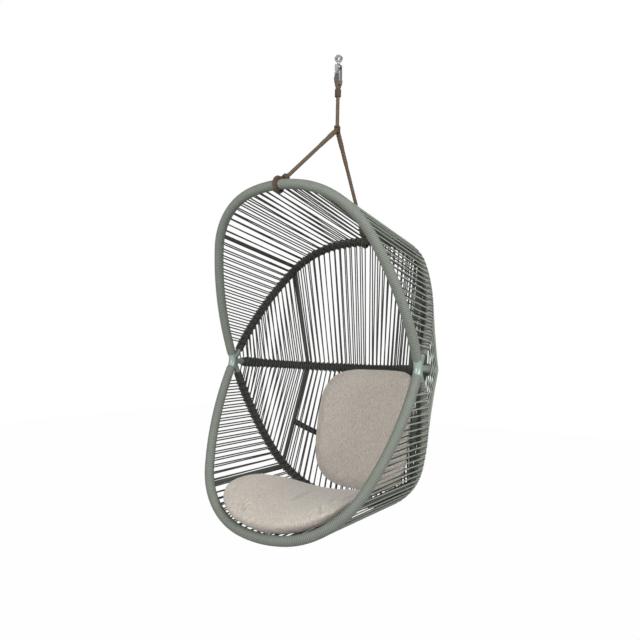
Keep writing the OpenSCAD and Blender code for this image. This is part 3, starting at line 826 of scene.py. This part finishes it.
@dataclass
class Panel:
    """One fan panel, in millimetres: a cord strung to and fro between two arches, outside then inside."""

    name: str
    first: ArchLine
    second: ArchLine
    inner_shift: float
    outer_shift: float
    hitched: bool
    first_spread: float
    second_spread: float
    cord_radius: float = STRAND_RADIUS
    gap: float = 0.1
    steps: int = 64
    first_step: int = 3
    phase: float = 0.41
    sides: int = 8
    bend_rings: int = 9
    run_rings: int = 4
    tuck_rings: int = 5
    tuck_angle: float = 1.25
    tuck_depth: float = 5.0
    under_ring: float = 15.0
    ring_squeeze: float = 1.0
    lean_share: float = 0.12

    def runs(self) -> list[list[tuple[float, int]]]:
        """The shares of arch length at which cords run, with 1 outside and -1 inside, split at the hitch."""
        rows: list[tuple[float, int]] = []
        for i in range(self.first_step, self.steps - self.first_step):
            for shift, side in ((self.inner_shift, -1), (self.outer_shift, 1)):
                if not (self.hitched and shift == 0 and i == self.steps // 2):
                    rows.append(((i + shift + self.phase) / self.steps, side))
        rows.sort()
        groups: list[list[tuple[float, int]]] = [[rows[0]]]
        for before, row in zip(rows, rows[1:]):
            if row[1] == before[1]:
                groups.append([])
            groups[-1].append(row)
        return groups

    def reach(self, line: ArchLine) -> float:
        """How far a run's end lies from an arch's centre line: on an inner winding, but under the ring's."""
        over = line.winding_radius + self.cord_radius + self.gap
        return (self.under_ring if line.winding_radius > INNER_WIND else over) * MM

    def ends(self, t: Array, side: Array) -> dict[str, Array]:
        """Where runs leave the two windings, with the outward and onward directions there."""
        lean = np.where(side < 0, np.clip((0.5 - t) / self.lean_share, -1.0, 1.0), 0.0)
        a, da = self.first.at(t * self.first.length + self.first_spread * lean)
        b, db = self.second.at(t * self.second.length + self.second_spread * lean)
        on = unit(b - a)
        up_a = unit(np.cross(da, b - a))
        up_b = -unit(np.cross(db, a - b))
        far_a = unit(np.cross(up_a, da))
        far_b = unit(np.cross(up_b, db))
        far_a *= np.sign(np.sum(far_a * -on, -1, keepdims=True))
        far_b *= np.sign(np.sum(far_b * on, -1, keepdims=True))
        reach_a, reach_b = self.reach(self.first), self.reach(self.second)
        k = side[:, None]
        return dict(
            pos_a=a, pos_b=b, dir_a=da, dir_b=db, up_a=up_a, up_b=up_b, far_a=far_a, far_b=far_b,
            start=a + k * up_a * reach_a, stop=b + k * up_b * reach_b,
        )

    def wrap_round(self, e: dict[str, Array], side: Array, at_second: Array, i: Array) -> tuple[Array, Array]:
        """Turns round an arch that lead from run i to run i + 1: the cord goes round the arch's far side.

        Args:
            e: the ends of the runs.
            side: 1 outside, -1 inside, for each run.
            at_second: whether each turn is on the second arch.
            i: numbers of the runs that the turns leave.
        Returns:
            Points and arch directions shaped (len(i), bend_rings, 3).
        """
        w = ((np.arange(self.bend_rings) + 0.5) / self.bend_rings)[None, :, None]
        angle = w * math.pi
        pick = at_second[i][:, None, None]
        over = np.where(at_second[i], self.reach(self.second), self.reach(self.first))[:, None, None]
        reach = over - np.where(over > INNER_WIND * MM, self.ring_squeeze * MM, 0.0) * np.sin(angle)

        def between(key: str) -> Array:
            """A row's values at the arch that each turn is on, blended from run i to run i + 1."""
            first, second = e[key + "_a"], e[key + "_b"]
            row, row_after = (np.where(pick, second[n][:, None], first[n][:, None]) for n in (i, i + 1))
            return row * (1 - w) + row_after * w

        k = side[i][:, None, None]
        turned = np.cos(angle) * k * between("up") + np.sin(angle) * between("far")
        return between("pos") + reach * turned, between("dir")

    def tucked(
        self, e: dict[str, Array], side: Array, at_second: bool, i: int, leaving: bool
    ) -> tuple[Array, Array]:
        """The cord's own end: it turns part of the way round the arch and sinks into the winding."""
        w = (np.arange(self.tuck_rings) + 1.0) / self.tuck_rings
        w = w if not leaving else w[::-1]
        angle = (w * self.tuck_angle)[:, None]
        a, up, far, along = (e[k + ("_b" if at_second else "_a")][i] for k in ("pos", "up", "far", "dir"))
        reach = self.reach(self.second if at_second else self.first) - self.tuck_depth * MM * w[:, None] ** 1.5
        spots = a + reach * (np.cos(angle) * side[i] * up + np.sin(angle) * far)
        return spots, np.broadcast_to(along, spots.shape)

    def cord(self, rows: list[tuple[float, int]]) -> tuple[Tube, Array]:
        """One cord's tube: straight runs joined by turns round the arches.

        Args:
            rows: shares and sides of its runs, in order.
        Returns:
            The tube, and for each of its quads whether it is on the shell's outside.
        """
        t = np.array([r[0] for r in rows])
        side = np.array([r[1] for r in rows], float)
        e = self.ends(t, side)
        n = len(t)
        forward = np.arange(n) % 2 == 0
        w = np.linspace(0.0, 1.0, self.run_rings)[None, :, None]

        def to_and_fro(first: Array, second: Array) -> Array:
            """Values along each run, from the arch it starts on to the other."""
            begin = np.where(forward[:, None], first, second)[:, None]
            end = np.where(forward[:, None], second, first)[:, None]
            return begin * (1 - w) + end * w

        run, run_hint = to_and_fro(e["start"], e["stop"]), to_and_fro(e["dir_a"], e["dir_b"])
        turn, turn_hint = self.wrap_round(e, side, forward, np.arange(n - 1))
        body = np.concatenate([run[:-1], turn], 1).reshape(-1, 3)
        hint = np.concatenate([run_hint[:-1], turn_hint], 1).reshape(-1, 3)
        head, head_hint = self.tucked(e, side, False, 0, True)
        tail, tail_hint = self.tucked(e, side, bool(forward[-1]), n - 1, False)
        centre = np.concatenate([head, body, run[-1], tail])
        hint = np.concatenate([head_hint, hint, run_hint[-1], tail_hint])
        way = unit(np.gradient(centre, axis=0))
        normal = unit(np.cross(hint, way)) * side[0]
        radius = np.full((len(centre), self.sides), self.cord_radius * MM)
        half = self.bend_rings // 2
        before, after = [side[:-1]] * (self.run_rings + half), [side[1:]] * (self.bend_rings - half)
        turn_side = np.stack(before + after, 1).ravel()
        first_side = np.full(self.tuck_rings, side[0])
        last_side = np.full(self.run_rings + self.tuck_rings, side[-1])
        outside = np.concatenate([first_side, turn_side, last_side]) > 0
        return sweep(centre, normal, np.cross(way, normal), radius), np.repeat(outside[:-1], self.sides)

    def build(self) -> None:
        """Strings the panel and lets it stand for its CAD strands."""
        tubes, tones = zip(*(self.cord(rows) for rows in self.runs()))
        points, quads, tris, uv = Mesher.merge(tubes)
        tone = np.concatenate([*tones, np.zeros(len(tris), bool)])
        piece = Mesher.build(f"{self.name}_cords", points, quads, tris, uv, tone)
        finishes = (Shelf.PANEL_CORD, Shelf.OUTER_CORD)
        settle(piece, finishes, "strand_cord", f"{self.name}_inner_strands", f"{self.name}_outer_strands")


# ---------------------------------------------------------------- cushions


@dataclass
class Pad:
    """A stuffed cushion, in millimetres: a rounded outline, a plump section and a bent middle surface."""

    name: str
    width: float
    depth: float
    thickness: float
    squareness: float
    fullness: float
    node: str
    around: int = 160
    across: int = 36
    swell_cap: float = 6.0
    inset: float = 6.0
    voxel: float = 6.0
    grow_right: float = 0.0
    grow_front: float = 0.0
    corner: float = 0.0
    front_full: float = 0.0
    front_drop: float = 0.0
    face_depth: float = 12.0
    fill: float = 0.7
    pressure: float = 4.0
    frames: int = 20
    folds: tuple[Fold, ...] = ()

    def middle(self, x: Array, y: Array) -> tuple[Array, Array]:
        """Middle surface and its upward direction, in millimetres; each cushion has its own."""
        raise NotImplementedError

    def surface(self) -> tuple[Array, Array, Array]:
        """The closed pad before it swells, smaller all round by the inset: two faces that meet at the rim.

        Ring q of the outline is q times a superellipse: across is cos(a) and up is sin(a), each to the power
        2 / squareness. The face rises by half the thickness times sqrt(1 - q^fullness).

        Returns:
            Points in the hanging frame, quads and triangles.
        """
        m, n, inset = self.around, self.across, self.inset
        a = np.arange(m) * TURN / m
        q = np.sin(np.pi / 2 * np.arange(1, n + 1) / n)[:, None]
        c, d = np.cos(a), np.sin(a)
        power = 2 / (self.squareness + self.corner * 2 * np.clip(c, 0, 1) * np.clip(d, 0, 1))
        x = q * (self.width / 2 - inset + self.grow_right * (c > 0)) * np.sign(c) * np.abs(c) ** power
        y = q * (self.depth / 2 - inset + self.grow_front * (d < 0)) * np.sign(d) * np.abs(d) ** power
        half = self.thickness / 2 - inset
        rise = half * np.sqrt(np.clip(1 - q**self.fullness, 0, 1)) * np.ones_like(x)
        drop = half * np.sqrt(np.clip(1 - q ** (self.fullness + self.front_full * np.clip(-d, 0, 1)), 0, 1))
        base, up = self.middle(x, y)
        front = np.clip((-y - self.depth * 0.1) / (self.depth * 0.4), 0, 1)
        base = base - up * (self.front_drop * front * front * (3 - 2 * front))[..., None]
        top = (base + up * rise[..., None]).reshape(-1, 3)
        low = (base - up * drop[..., None])[:-1].reshape(-1, 3)
        zero = np.zeros((1, 1))
        mid, mid_up = self.middle(zero, zero)
        poles = np.concatenate([mid + mid_up * half, mid - mid_up * half]).reshape(2, 3)
        points = np.concatenate([top, low, poles])
        upper = Mesher.grid(n, m, True)
        lower = Mesher.grid(n - 1, m, True)[:, ::-1] + n * m
        j = np.arange(m)
        k = (j + 1) % m
        rim = np.stack([n * m + (n - 2) * m + j, (n - 1) * m + j, (n - 1) * m + k, n * m + (n - 2) * m + k], -1)
        top_fan = np.stack([np.full(m, len(points) - 2), k, j], -1)
        low_fan = np.stack([np.full(m, len(points) - 1), n * m + j, n * m + k], -1)
        return HANG.place(points * MM), np.concatenate([upper, lower, rim]), np.concatenate([top_fan, low_fan])

    def build(self) -> None:
        """Makes, inflates and dresses the cushion."""
        piece = Mesher.build(self.name, *self.surface())
        work = bmesh.new()
        work.from_mesh(piece.data)
        bmesh.ops.recalc_face_normals(work, faces=work.faces)
        work.to_mesh(piece.data)
        work.free()
        self.inflate(piece)
        self.crease(piece)
        piece.data.polygons.foreach_set("use_smooth", np.ones(len(piece.data.polygons), bool))
        settle(piece, Shelf.CUSHION, "cushion_cloth", self.node)

    @staticmethod
    def baked(piece: bpy.types.Object) -> None:
        """Swaps a piece's mesh for the one its modifiers make, and removes them."""
        graph = bpy.context.evaluated_depsgraph_get()
        mesh = bpy.data.meshes.new_from_object(piece.evaluated_get(graph))
        piece.modifiers.clear()
        piece.data = mesh

    def inflate(self, piece: bpy.types.Object) -> None:
        """Remeshes the pad evenly, fills it with air as cloth, caps the swelling and smooths once."""
        remesh = piece.modifiers.new("remesh", "REMESH")
        remesh.mode = "VOXEL"
        remesh.voxel_size = self.voxel * MM
        self.baked(piece)
        before = self.spots(piece)
        cloth = piece.modifiers.new("cloth", "CLOTH")
        cloth.settings.use_pressure = True
        cloth.settings.uniform_pressure_force = self.pressure
        cloth.settings.effector_weights.gravity = 0.0
        scene = bpy.context.scene
        for number in range(1, self.frames + 1):
            scene.frame_set(number)
        self.baked(piece)
        scene.frame_set(1)
        move = self.spots(piece) - before
        far = np.linalg.norm(move, axis=1, keepdims=True)
        move *= np.minimum(1.0, self.swell_cap * MM / np.maximum(far, TINY))
        self.put(piece, before + move)
        LOG.info("%s: swelled by up to %.1f mm", self.name, float(far.max()) / MM)
        smooth = piece.modifiers.new("smooth", "SUBSURF")
        smooth.levels = smooth.render_levels = 1
        self.baked(piece)

    @staticmethod
    def spots(piece: bpy.types.Object) -> Array:
        """A piece's points shaped (n, 3)."""
        flat = np.zeros(len(piece.data.vertices) * 3, np.float32)
        piece.data.vertices.foreach_get("co", flat)
        return flat.reshape(-1, 3).astype(float)

    @staticmethod
    def put(piece: bpy.types.Object, points: Array) -> None:
        """Moves a piece's points."""
        piece.data.vertices.foreach_set("co", np.ascontiguousarray(points, np.float32).ravel())
        piece.data.update()

    def plan(self, points: Array) -> tuple[Array, Array, Array, Array]:
        """Where points lie: across the pad, up its face and proud of its middle, with the up direction."""
        raise NotImplementedError

    def crease(self, piece: bpy.types.Object) -> None:
        """Presses soft folds in: each dips along a line of the plan, swells beside it, and fades at both ends.

        The dip at distance d from a line of width w is depth * (exp(-(d/w)^2) - 0.55 exp(-((d - 1.8 w)/w)^2)).
        """
        if not self.folds:
            return
        spots = self.spots(piece)
        x, y, proud, up = self.plan(spots)
        face = np.clip(proud / self.face_depth, 0.0, 1.0)
        for start, stop, depth, width in self.folds:
            line = np.array(stop) - np.array(start)
            span = float(np.hypot(*line))
            on, off = line / span, np.array([-line[1], line[0]]) / span
            t = ((x - start[0]) * on[0] + (y - start[1]) * on[1]) / span
            d = (x - start[0]) * off[0] + (y - start[1]) * off[1]
            past = np.maximum(np.maximum(-t, t - 1.0), 0.0) * span
            fade = np.exp(-((past / (1.5 * width)) ** 2)) * (0.45 + 0.55 * np.sin(np.pi * np.clip(t, 0.0, 1.0)))
            shape = np.exp(-((d / width) ** 2)) - 0.55 * np.exp(-(((d - 1.8 * width) / width) ** 2))
            spots = spots - (depth * MM * fade * face * shape)[:, None] * up
        self.put(piece, spots)


SEAT_FOLDS = (
    ((-96.0, -226.0), (-111.0, -175.0), 10.2, 8.5),
    ((-106.0, -181.0), (-91.0, -68.0), 10.2, 9.5),
    ((20.0, -69.0), (-2.0, 94.0), 6.8, 10.4),
    ((188.0, -139.0), (228.0, -186.0), 8.5, 7.6),
    ((228.0, -159.0), (199.0, -24.0), 6.0, 8.5),
    ((-229.0, -148.0), (-225.0, -70.0), 4.2, 13.3),
)


@dataclass
class SeatPad(Pad):
    """The seat cushion: it rises at the sides with the seat panel."""

    centre_y: float = -156.0
    centre_z: float = -538.86
    bend: float = 8.5e-4
    lift: float = 1.5e-9
    slope: float = -0.045

    def middle(self, x: Array, y: Array) -> tuple[Array, Array]:
        """Height: centre + bend x^2 + lift x^4 + slope y; up is +Z."""
        z = self.centre_z + self.bend * x**2 + self.lift * x**4 + self.slope * y
        up = np.broadcast_to(Z_WAY, x.shape + (3,))
        return np.stack([x, self.centre_y + y, z], -1), up

    def plan(self, points: Array) -> tuple[Array, Array, Array, Array]:
        """Undoes the hanging tilt, then reads x, y and the height over the middle surface."""
        inner = HANG.back(points) / MM
        x, y = inner[:, 0], inner[:, 1] - self.centre_y
        middle, up = self.middle(x, y)
        return x, y, inner[:, 2] - middle[:, 2], HANG.turn(up)


@dataclass
class BackPad(Pad):
    """The back cushion: it leans on the lower back panel, curves with it and eases off it on the right."""

    foot: float = 52.0
    off: float = 72.10
    bend: float = 0.0007
    shift: float = 77.0
    side_ease: float = 12.0
    ease_start: float = 130.0
    ease_width: float = 130.0
    base: tuple[float, float] = (221.9, -626.7)
    top: tuple[float, float] = (371.3, -58.8)

    def middle(self, x: Array, y: Array) -> tuple[Array, Array]:
        """Leaning plane through the two arch crowns, moved forward by off + bend (x + shift)^2 and the ease."""
        rise = np.array([0.0, self.top[0] - self.base[0], self.top[1] - self.base[1]])
        up = rise / np.linalg.norm(rise)
        out = np.array([0.0, -up[2], up[1]])
        start = np.array([self.shift, self.base[0], self.base[1]])
        along = (self.foot + self.depth / 2 + y)[..., None] * up
        ease = self.side_ease * np.clip((x - self.ease_start) / self.ease_width, 0.0, 1.0) ** 2
        proud = (self.off + ease + self.bend * (x + self.shift) ** 2)[..., None] * out
        return start + np.stack([x, 0 * x, 0 * x], -1) + along + proud, np.broadcast_to(out, x.shape + (3,))


# ---------------------------------------------------------------- rope and hanger


@dataclass
class Rope:
    """A laid rope: three strands twist about the path, thicker where an end is spliced back."""

    lobes: int = 3
    lay: float = 42.0
    relief: float = 0.2
    corners: int = 24
    spacing: float = 1.6

    def radii(self, along: Array, outer: Array) -> Array:
        """Distance from the path: lobes of a rosette that turns once in each lay.

        Args:
            along: distances along the path, in millimetres.
            outer: radius over the strands at each distance, in millimetres.
        Returns:
            Radii shaped (len(along), corners), in metres.
        """
        a = np.arange(self.corners) / self.corners
        phase = self.lobes * a[None, :] + self.lobes * along[:, None] / self.lay
        lobe = np.abs(np.cos(math.pi * (phase - np.floor(phase) - 0.5)))
        return outer[:, None] * (1.0 - self.relief * (1.0 - lobe**0.7)) * MM

    def tube(self, path: Array, outer: Callable[[Array], Array], hint: Array) -> Tube:
        """The rope's tube along points, its rings evenly spaced.

        Args:
            path: points shaped (n, 3), in millimetres.
            outer: gives the radius for distances along the path.
            hint: a direction that the path never takes, or one for each ring.
        Returns:
            Points, quads, triangles and uv pairs.
        """
        run = np.concatenate([[0.0], np.cumsum(np.linalg.norm(np.diff(path, axis=0), axis=1))])
        s = np.linspace(0.0, run[-1], int(run[-1] / self.spacing))
        centre = np.stack([np.interp(s, run, path[:, i]) for i in range(3)], -1) * MM
        normal, side = path_frame(centre, hint)
        return sweep(centre, normal, side, self.radii(s, outer(s)))

    def along(self, name: str, path: Array, outer: Callable[[Array], Array], hint: Array) -> bpy.types.Object:
        """Makes a piece of the rope's tube."""
        return Mesher.build(name, *self.tube(path, outer, hint))


@dataclass
class Hanger:
    """The swivel, link and pins in steel, and the ropes, the knot and the ties, in millimetres."""

    rope_radius: float = 8.0
    knot: tuple[float, float, float] = (0.0, 0.0, -300.9)
    toggle_pin: float = -92.0
    eye_radius: float = 19.1
    eye_merge: float = 45.2
    leg_angle: float = math.radians(25.0)
    seizing_top: float = -130.2
    seizing_length: float = 34.0
    seizing_wrap: float = 5.5
    turn_radius: float = 7.5
    coil_radius: float = 4.1
    coil_turns: float = 3.2
    coil_start: float = 37.0
    coil_pitch: float = 7.6
    knot_turns: float = 3.4
    knot_cord: float = 4.9
    knot_reach: float = 9.3
    knot_height: float = 33.0
    branch_start: float = 6.0
    splices: tuple[tuple[float, float, float], ...] = ((155.0, 1.2, 3.0), (80.0, 1.3, 2.0))

    def build(self) -> None:
        """Dresses the metal nodes and makes the ropes."""
        for node in ("swivel_eye", "swivel_yoke", "toggle_link", "rope_thimble"):
            dress(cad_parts[node], Shelf.STEEL)
        for node in ("yoke_pin", "toggle_pin"):
            dress(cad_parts[node], Shelf.PIN)
        eye = self.eye()
        seizing = self.seizing()
        knot = self.tied_knot()
        self.main_rope([eye, seizing, knot])
        self.branch("front", UPPER_FRONT)
        self.branch("rear", UPPER_REAR)

    def even(self, radius: float) -> Callable[[Array], Array]:
        """A rope radius that stays the same."""
        return lambda s: np.full_like(s, radius)

    def eye(self) -> bpy.types.Object:
        """The rope's eye: round the thimble's groove, with two legs that meet in the seizing."""
        angle = np.linspace(-self.leg_angle, math.pi + self.leg_angle, 90)
        y, z = self.eye_radius * np.cos(angle), self.eye_radius * np.sin(angle)
        bow = np.stack([0 * y, y, self.toggle_pin + z], -1)
        foot = self.toggle_pin - self.eye_merge + 2.0
        path = np.concatenate([[[0.0, 1.0, foot]], bow, [[0.0, -1.0, foot]]])
        piece = Rope().along("rope_eye", path, self.even(self.rope_radius), X_WAY)
        return settle(piece, Shelf.ROPE, "rope", "hanging_rope")

    def seizing(self) -> bpy.types.Object:
        """Twine wound tightly where the eye's legs meet."""

        def at(s: Array) -> tuple[Array, Array]:
            """Points and directions down the seizing."""
            down = np.zeros((len(s), 3))
            down[:, 2] = -1.0
            return np.stack([0 * s, 0 * s, self.seizing_top - s], -1) * MM, down

        winding = Winding(pitch=4.2, rise=1.5, corners=28)
        outer = self.rope_radius + self.seizing_wrap
        piece = winding.cover("rope_seizing", at, 0.0, self.seizing_length, outer, 3.0)
        return settle(piece, Shelf.BINDING, "rope_bindings", "eye_seizing")

    def tied_knot(self) -> bpy.types.Object:
        """Turns of thinner rope drawn tight where the rope forks, the first and last tucked in."""
        w = np.linspace(0.0, 1.0, 160)
        angle = TURN * self.knot_turns * w + 0.6
        reach = self.knot_reach - 20.0 * np.clip(np.abs(w - 0.5) * 2 - 0.8, 0.0, 1.0)
        height = self.knot[2] + 16.0 - self.knot_height * w
        path = np.stack([reach * np.cos(angle), reach * np.sin(angle), height], -1)
        piece = Rope(lay=26.0, corners=16).along("fork_knot", path, self.even(self.knot_cord), Z_WAY)
        return settle(piece, Shelf.BINDING, "rope_bindings", "rope_knot")

    def main_rope(self, pieces: list[bpy.types.Object]) -> None:
        """The single rope from the seizing down to the fork."""
        z = np.linspace(self.seizing_top, self.knot[2] + 4.0, 24)
        path = np.stack([0 * z, 0 * z, z], -1)
        piece = Rope().along("main_rope", path, self.even(self.rope_radius), X_WAY)
        settle(piece, Shelf.ROPE, "rope", "hanging_rope")

    def crown(self, line: ArchLine) -> tuple[Array, Array]:
        """Where the rope is tied to an arch, straight under the bore, and the arch's direction there."""
        point, way = line.at(np.array([line.length / 2 - HANG.offset[0] / MM]))
        spot = point[0] / MM
        return np.array([0.0, spot[1], spot[2]]), way[0]

    def branch(self, side: str, line: ArchLine) -> None:
        """One branch of the fork with its splices, and the tie that holds it to the arch."""
        knot = np.array(self.knot)
        crown, way = self.crown(line)
        u = unit(crown - knot)
        stop = float(np.linalg.norm(crown - knot)) - line.winding_radius - 2 * self.turn_radius + 6.0
        start = self.branch_start

        def outer(s: Array) -> Array:
            """Radius that steps down smoothly at each splice, and thins towards the fork."""
            d = s + start
            proud = sum(rise / (1 + np.exp((d - spot) / soft)) for spot, rise, soft in self.splices)
            return self.rope_radius + proud - 2.8 * np.clip((24.0 - d) / 14.0, 0.0, 1.0)

        d = np.linspace(start, stop, 30)
        path = knot + d[:, None] * u
        piece = Rope().along(f"{side}_branch", path, outer, X_WAY)
        settle(piece, Shelf.ROPE, "rope", f"{side}_rope_branch")
        tie = self.tie(side, line, crown, way, u)
        tuple((path[0] * MM).tolist())
        (path * MM).tolist()

    def tie(self, side: str, line: ArchLine, crown: Array, way: Array, u: Array) -> bpy.types.Object:
        """A round turn on the arch and three turns about the foot of the branch."""
        across = unit(np.cross(way, u))
        up = np.cross(across, way)
        angle = np.linspace(0.0, TURN, 120)[:, None]
        reach = line.winding_radius + self.turn_radius + 0.1
        ring = crown + reach * (np.cos(angle) * -up + np.sin(angle) * across)
        a = np.linspace(0.0, self.coil_turns * TURN, 200)[:, None]
        first = unit(np.cross(u, X_WAY))
        second = np.cross(u, first)
        rise = self.coil_start + self.coil_pitch * a / TURN
        coil = crown - u * rise + (self.rope_radius + 4.0) * (np.cos(a) * first + np.sin(a) * second)
        rows = ((ring, self.turn_radius, way, 36.0), (coil, self.coil_radius, u, 22.0))
        parts = [
            Rope(lay=lay, corners=18).tube(path, self.even(radius), hint) for path, radius, hint, lay in rows
        ]
        piece = Mesher.build(f"{side}_tie", *Mesher.merge(parts))
        return settle(piece, Shelf.BINDING, "rope_bindings", f"{side}_hitch")


# ---------------------------------------------------------------- studio


@dataclass
class Studio:
    """Camera, lamps, world and floor."""

    azimuth: float = 34.2599
    elevation: float = 2.112
    roll: float = -1.6302
    distance: float = 2.9655 * 0.9
    shift_x: float = -2.5424
    shift_z: float = 43.9897
    focal_pixels: float = 659.64
    width_pixels: int = 640
    sensor: float = 36.0
    floor_height: float = -2.62
    floor_size: float = 9.0
    floor_white: float = 0.985
    soft_light: float = 0.38

    def build(self) -> None:
        """Sets the stage."""
        self.camera()
        self.floor()
        self.world()
        self.lamps()
        bpy.context.scene.view_settings.view_transform = "Standard"

    def camera(self) -> None:
        """Places the camera by its angles round the hubs, carried into the hanging frame."""
        az, el, roll = (math.radians(v) for v in (self.azimuth, self.elevation, self.roll))
        back = np.array([math.sin(az) * math.cos(el), -math.cos(az) * math.cos(el), math.sin(el)])
        right = np.array([math.cos(az), math.sin(az), 0.0])
        up = np.cross(back, right)
        right, up = math.cos(roll) * right + math.sin(roll) * up, math.cos(roll) * up - math.sin(roll) * right
        step = self.distance / self.focal_pixels
        spot = back * self.distance - right * self.shift_x * step + up * self.shift_z * step
        spot, right, up, back = HANG.place(spot), HANG.turn(right), HANG.turn(up), HANG.turn(back)
        data = bpy.data.cameras.new("camera")
        data.sensor_width = self.sensor
        data.lens = self.focal_pixels / self.width_pixels * self.sensor
        bpy.context.scene.camera = self.stand("camera", data, right, up, back, spot)

    @staticmethod
    def stand(
        name: str, data: bpy.types.ID, right: Array, up: Array, back: Array, spot: Array
    ) -> bpy.types.Object:
        """Adds a camera or lamp that looks against back, from a spot."""
        made = bpy.data.objects.new(name, data)
        matrix = np.eye(4)
        matrix[:3] = np.stack([right, up, back, spot], -1)
        made.matrix_world = Matrix(matrix.tolist())
        bpy.context.scene.collection.objects.link(made)
        return made

    def floor(self) -> None:
        """A wide pale floor under the chair, white to the camera but for a trace of the shadow."""
        square = np.array([[-1, -1, 0], [1, -1, 0], [1, 1, 0], [-1, 1, 0]])
        corners = square * self.floor_size + Z_WAY * self.floor_height
        floor = Mesher.build("floor", corners, np.array([[0, 1, 2, 3]]))
        desk = Desk("floor")
        seen = desk.node("ShaderNodeLightPath", {}, {}, "Is Camera Ray")
        glossy = desk.node("ShaderNodeLightPath", {}, {}, "Is Glossy Ray")
        plain = desk.node("ShaderNodeBsdfDiffuse", {}, {"Color": (0.5, 0.5, 0.5, 1.0)})
        white = desk.node("ShaderNodeEmission", {}, {"Color": (1.0, 1.0, 1.0, 1.0), "Strength": 1.0})
        shown = (seen + glossy).clamp() * self.floor_white
        desk.close(desk.node("ShaderNodeMixShader", {}, {0: shown, 1: plain, 2: white}))
        floor.data.materials.append(desk.owner)

    def world(self) -> None:
        """Soft even light, white where the camera sees it."""
        desk = Desk("studio", world=True)
        seen = desk.node("ShaderNodeLightPath", {}, {}, "Is Camera Ray")
        through = desk.node("ShaderNodeLightPath", {}, {}, "Is Transmission Ray")
        white = (1.0, 1.0, 1.0, 1.0)
        soft = desk.node("ShaderNodeBackground", {}, {"Color": white, "Strength": self.soft_light})
        shown = desk.node("ShaderNodeBackground", {}, {"Color": white, "Strength": 1.0})
        desk.close(desk.node("ShaderNodeMixShader", {}, {0: seen.largest(through), 1: soft, 2: shown}))
        bpy.context.scene.world = desk.owner

    def lamps(self) -> None:
        """A broad key lamp from the right, one as strong from the front, and a weaker one from behind."""
        rows = [
            ("key", (3.0, -0.9, 0.1), (0.0, -0.1, -1.3), 2.0, 98.0),
            ("fill", (-0.4, -3.4, -0.1), (0.0, 0.0, -1.35), 2.2, 96.0),
            ("back", (-0.9, 3.3, 0.0), (0.0, 0.0, -1.3), 2.2, 38.0),
        ]
        for name, spot, aim, size, power in rows:
            data = bpy.data.lights.new(name, "AREA")
            data.size = size
            data.energy = power
            back = unit(np.array(spot) - np.array(aim))
            right = unit(np.cross(Z_WAY, back))
            self.stand(name, data, right, np.cross(back, right), back, np.array(spot))


def main() -> None:
    """Builds the chair piece by piece."""
    logging.basicConfig(level=logging.INFO, format="%(name)s: %(message)s")
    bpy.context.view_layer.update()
    Studio().build()
    Frame().build()
    panels = [
        Panel("top", UPPER_FRONT, UPPER_REAR, 0.0, 0.5, True, 0.0, -2.0),
        Panel("upper_back", UPPER_REAR, MIDDLE, 0.5, 0.0, True, 2.0, 0.0),
        Panel("lower_back", MIDDLE, LOWER_REAR, 0.0, 0.5, False, 0.0, 2.0),
        Panel("seat", LOWER_REAR, LOWER_FRONT, 0.5, 0.0, False, -2.0, 0.0),
    ]
    for panel in panels:
        panel.build()
    SeatPad(
        "seat_pad", 588.0, 502.0, 80.0, 2.5, 4.5, "seat_cushion",
        grow_front=10.0, front_full=6.0, front_drop=8.0, folds=SEAT_FOLDS,
    ).build()
    BackPad("back_pad", 494.0, 535.0, 84.0, 3.3, 4.0, "back_cushion", grow_right=16.0, corner=2.5).build()
    Hanger().build()
    bpy.context.view_layer.update()


if __name__ == "__main__":
    main()
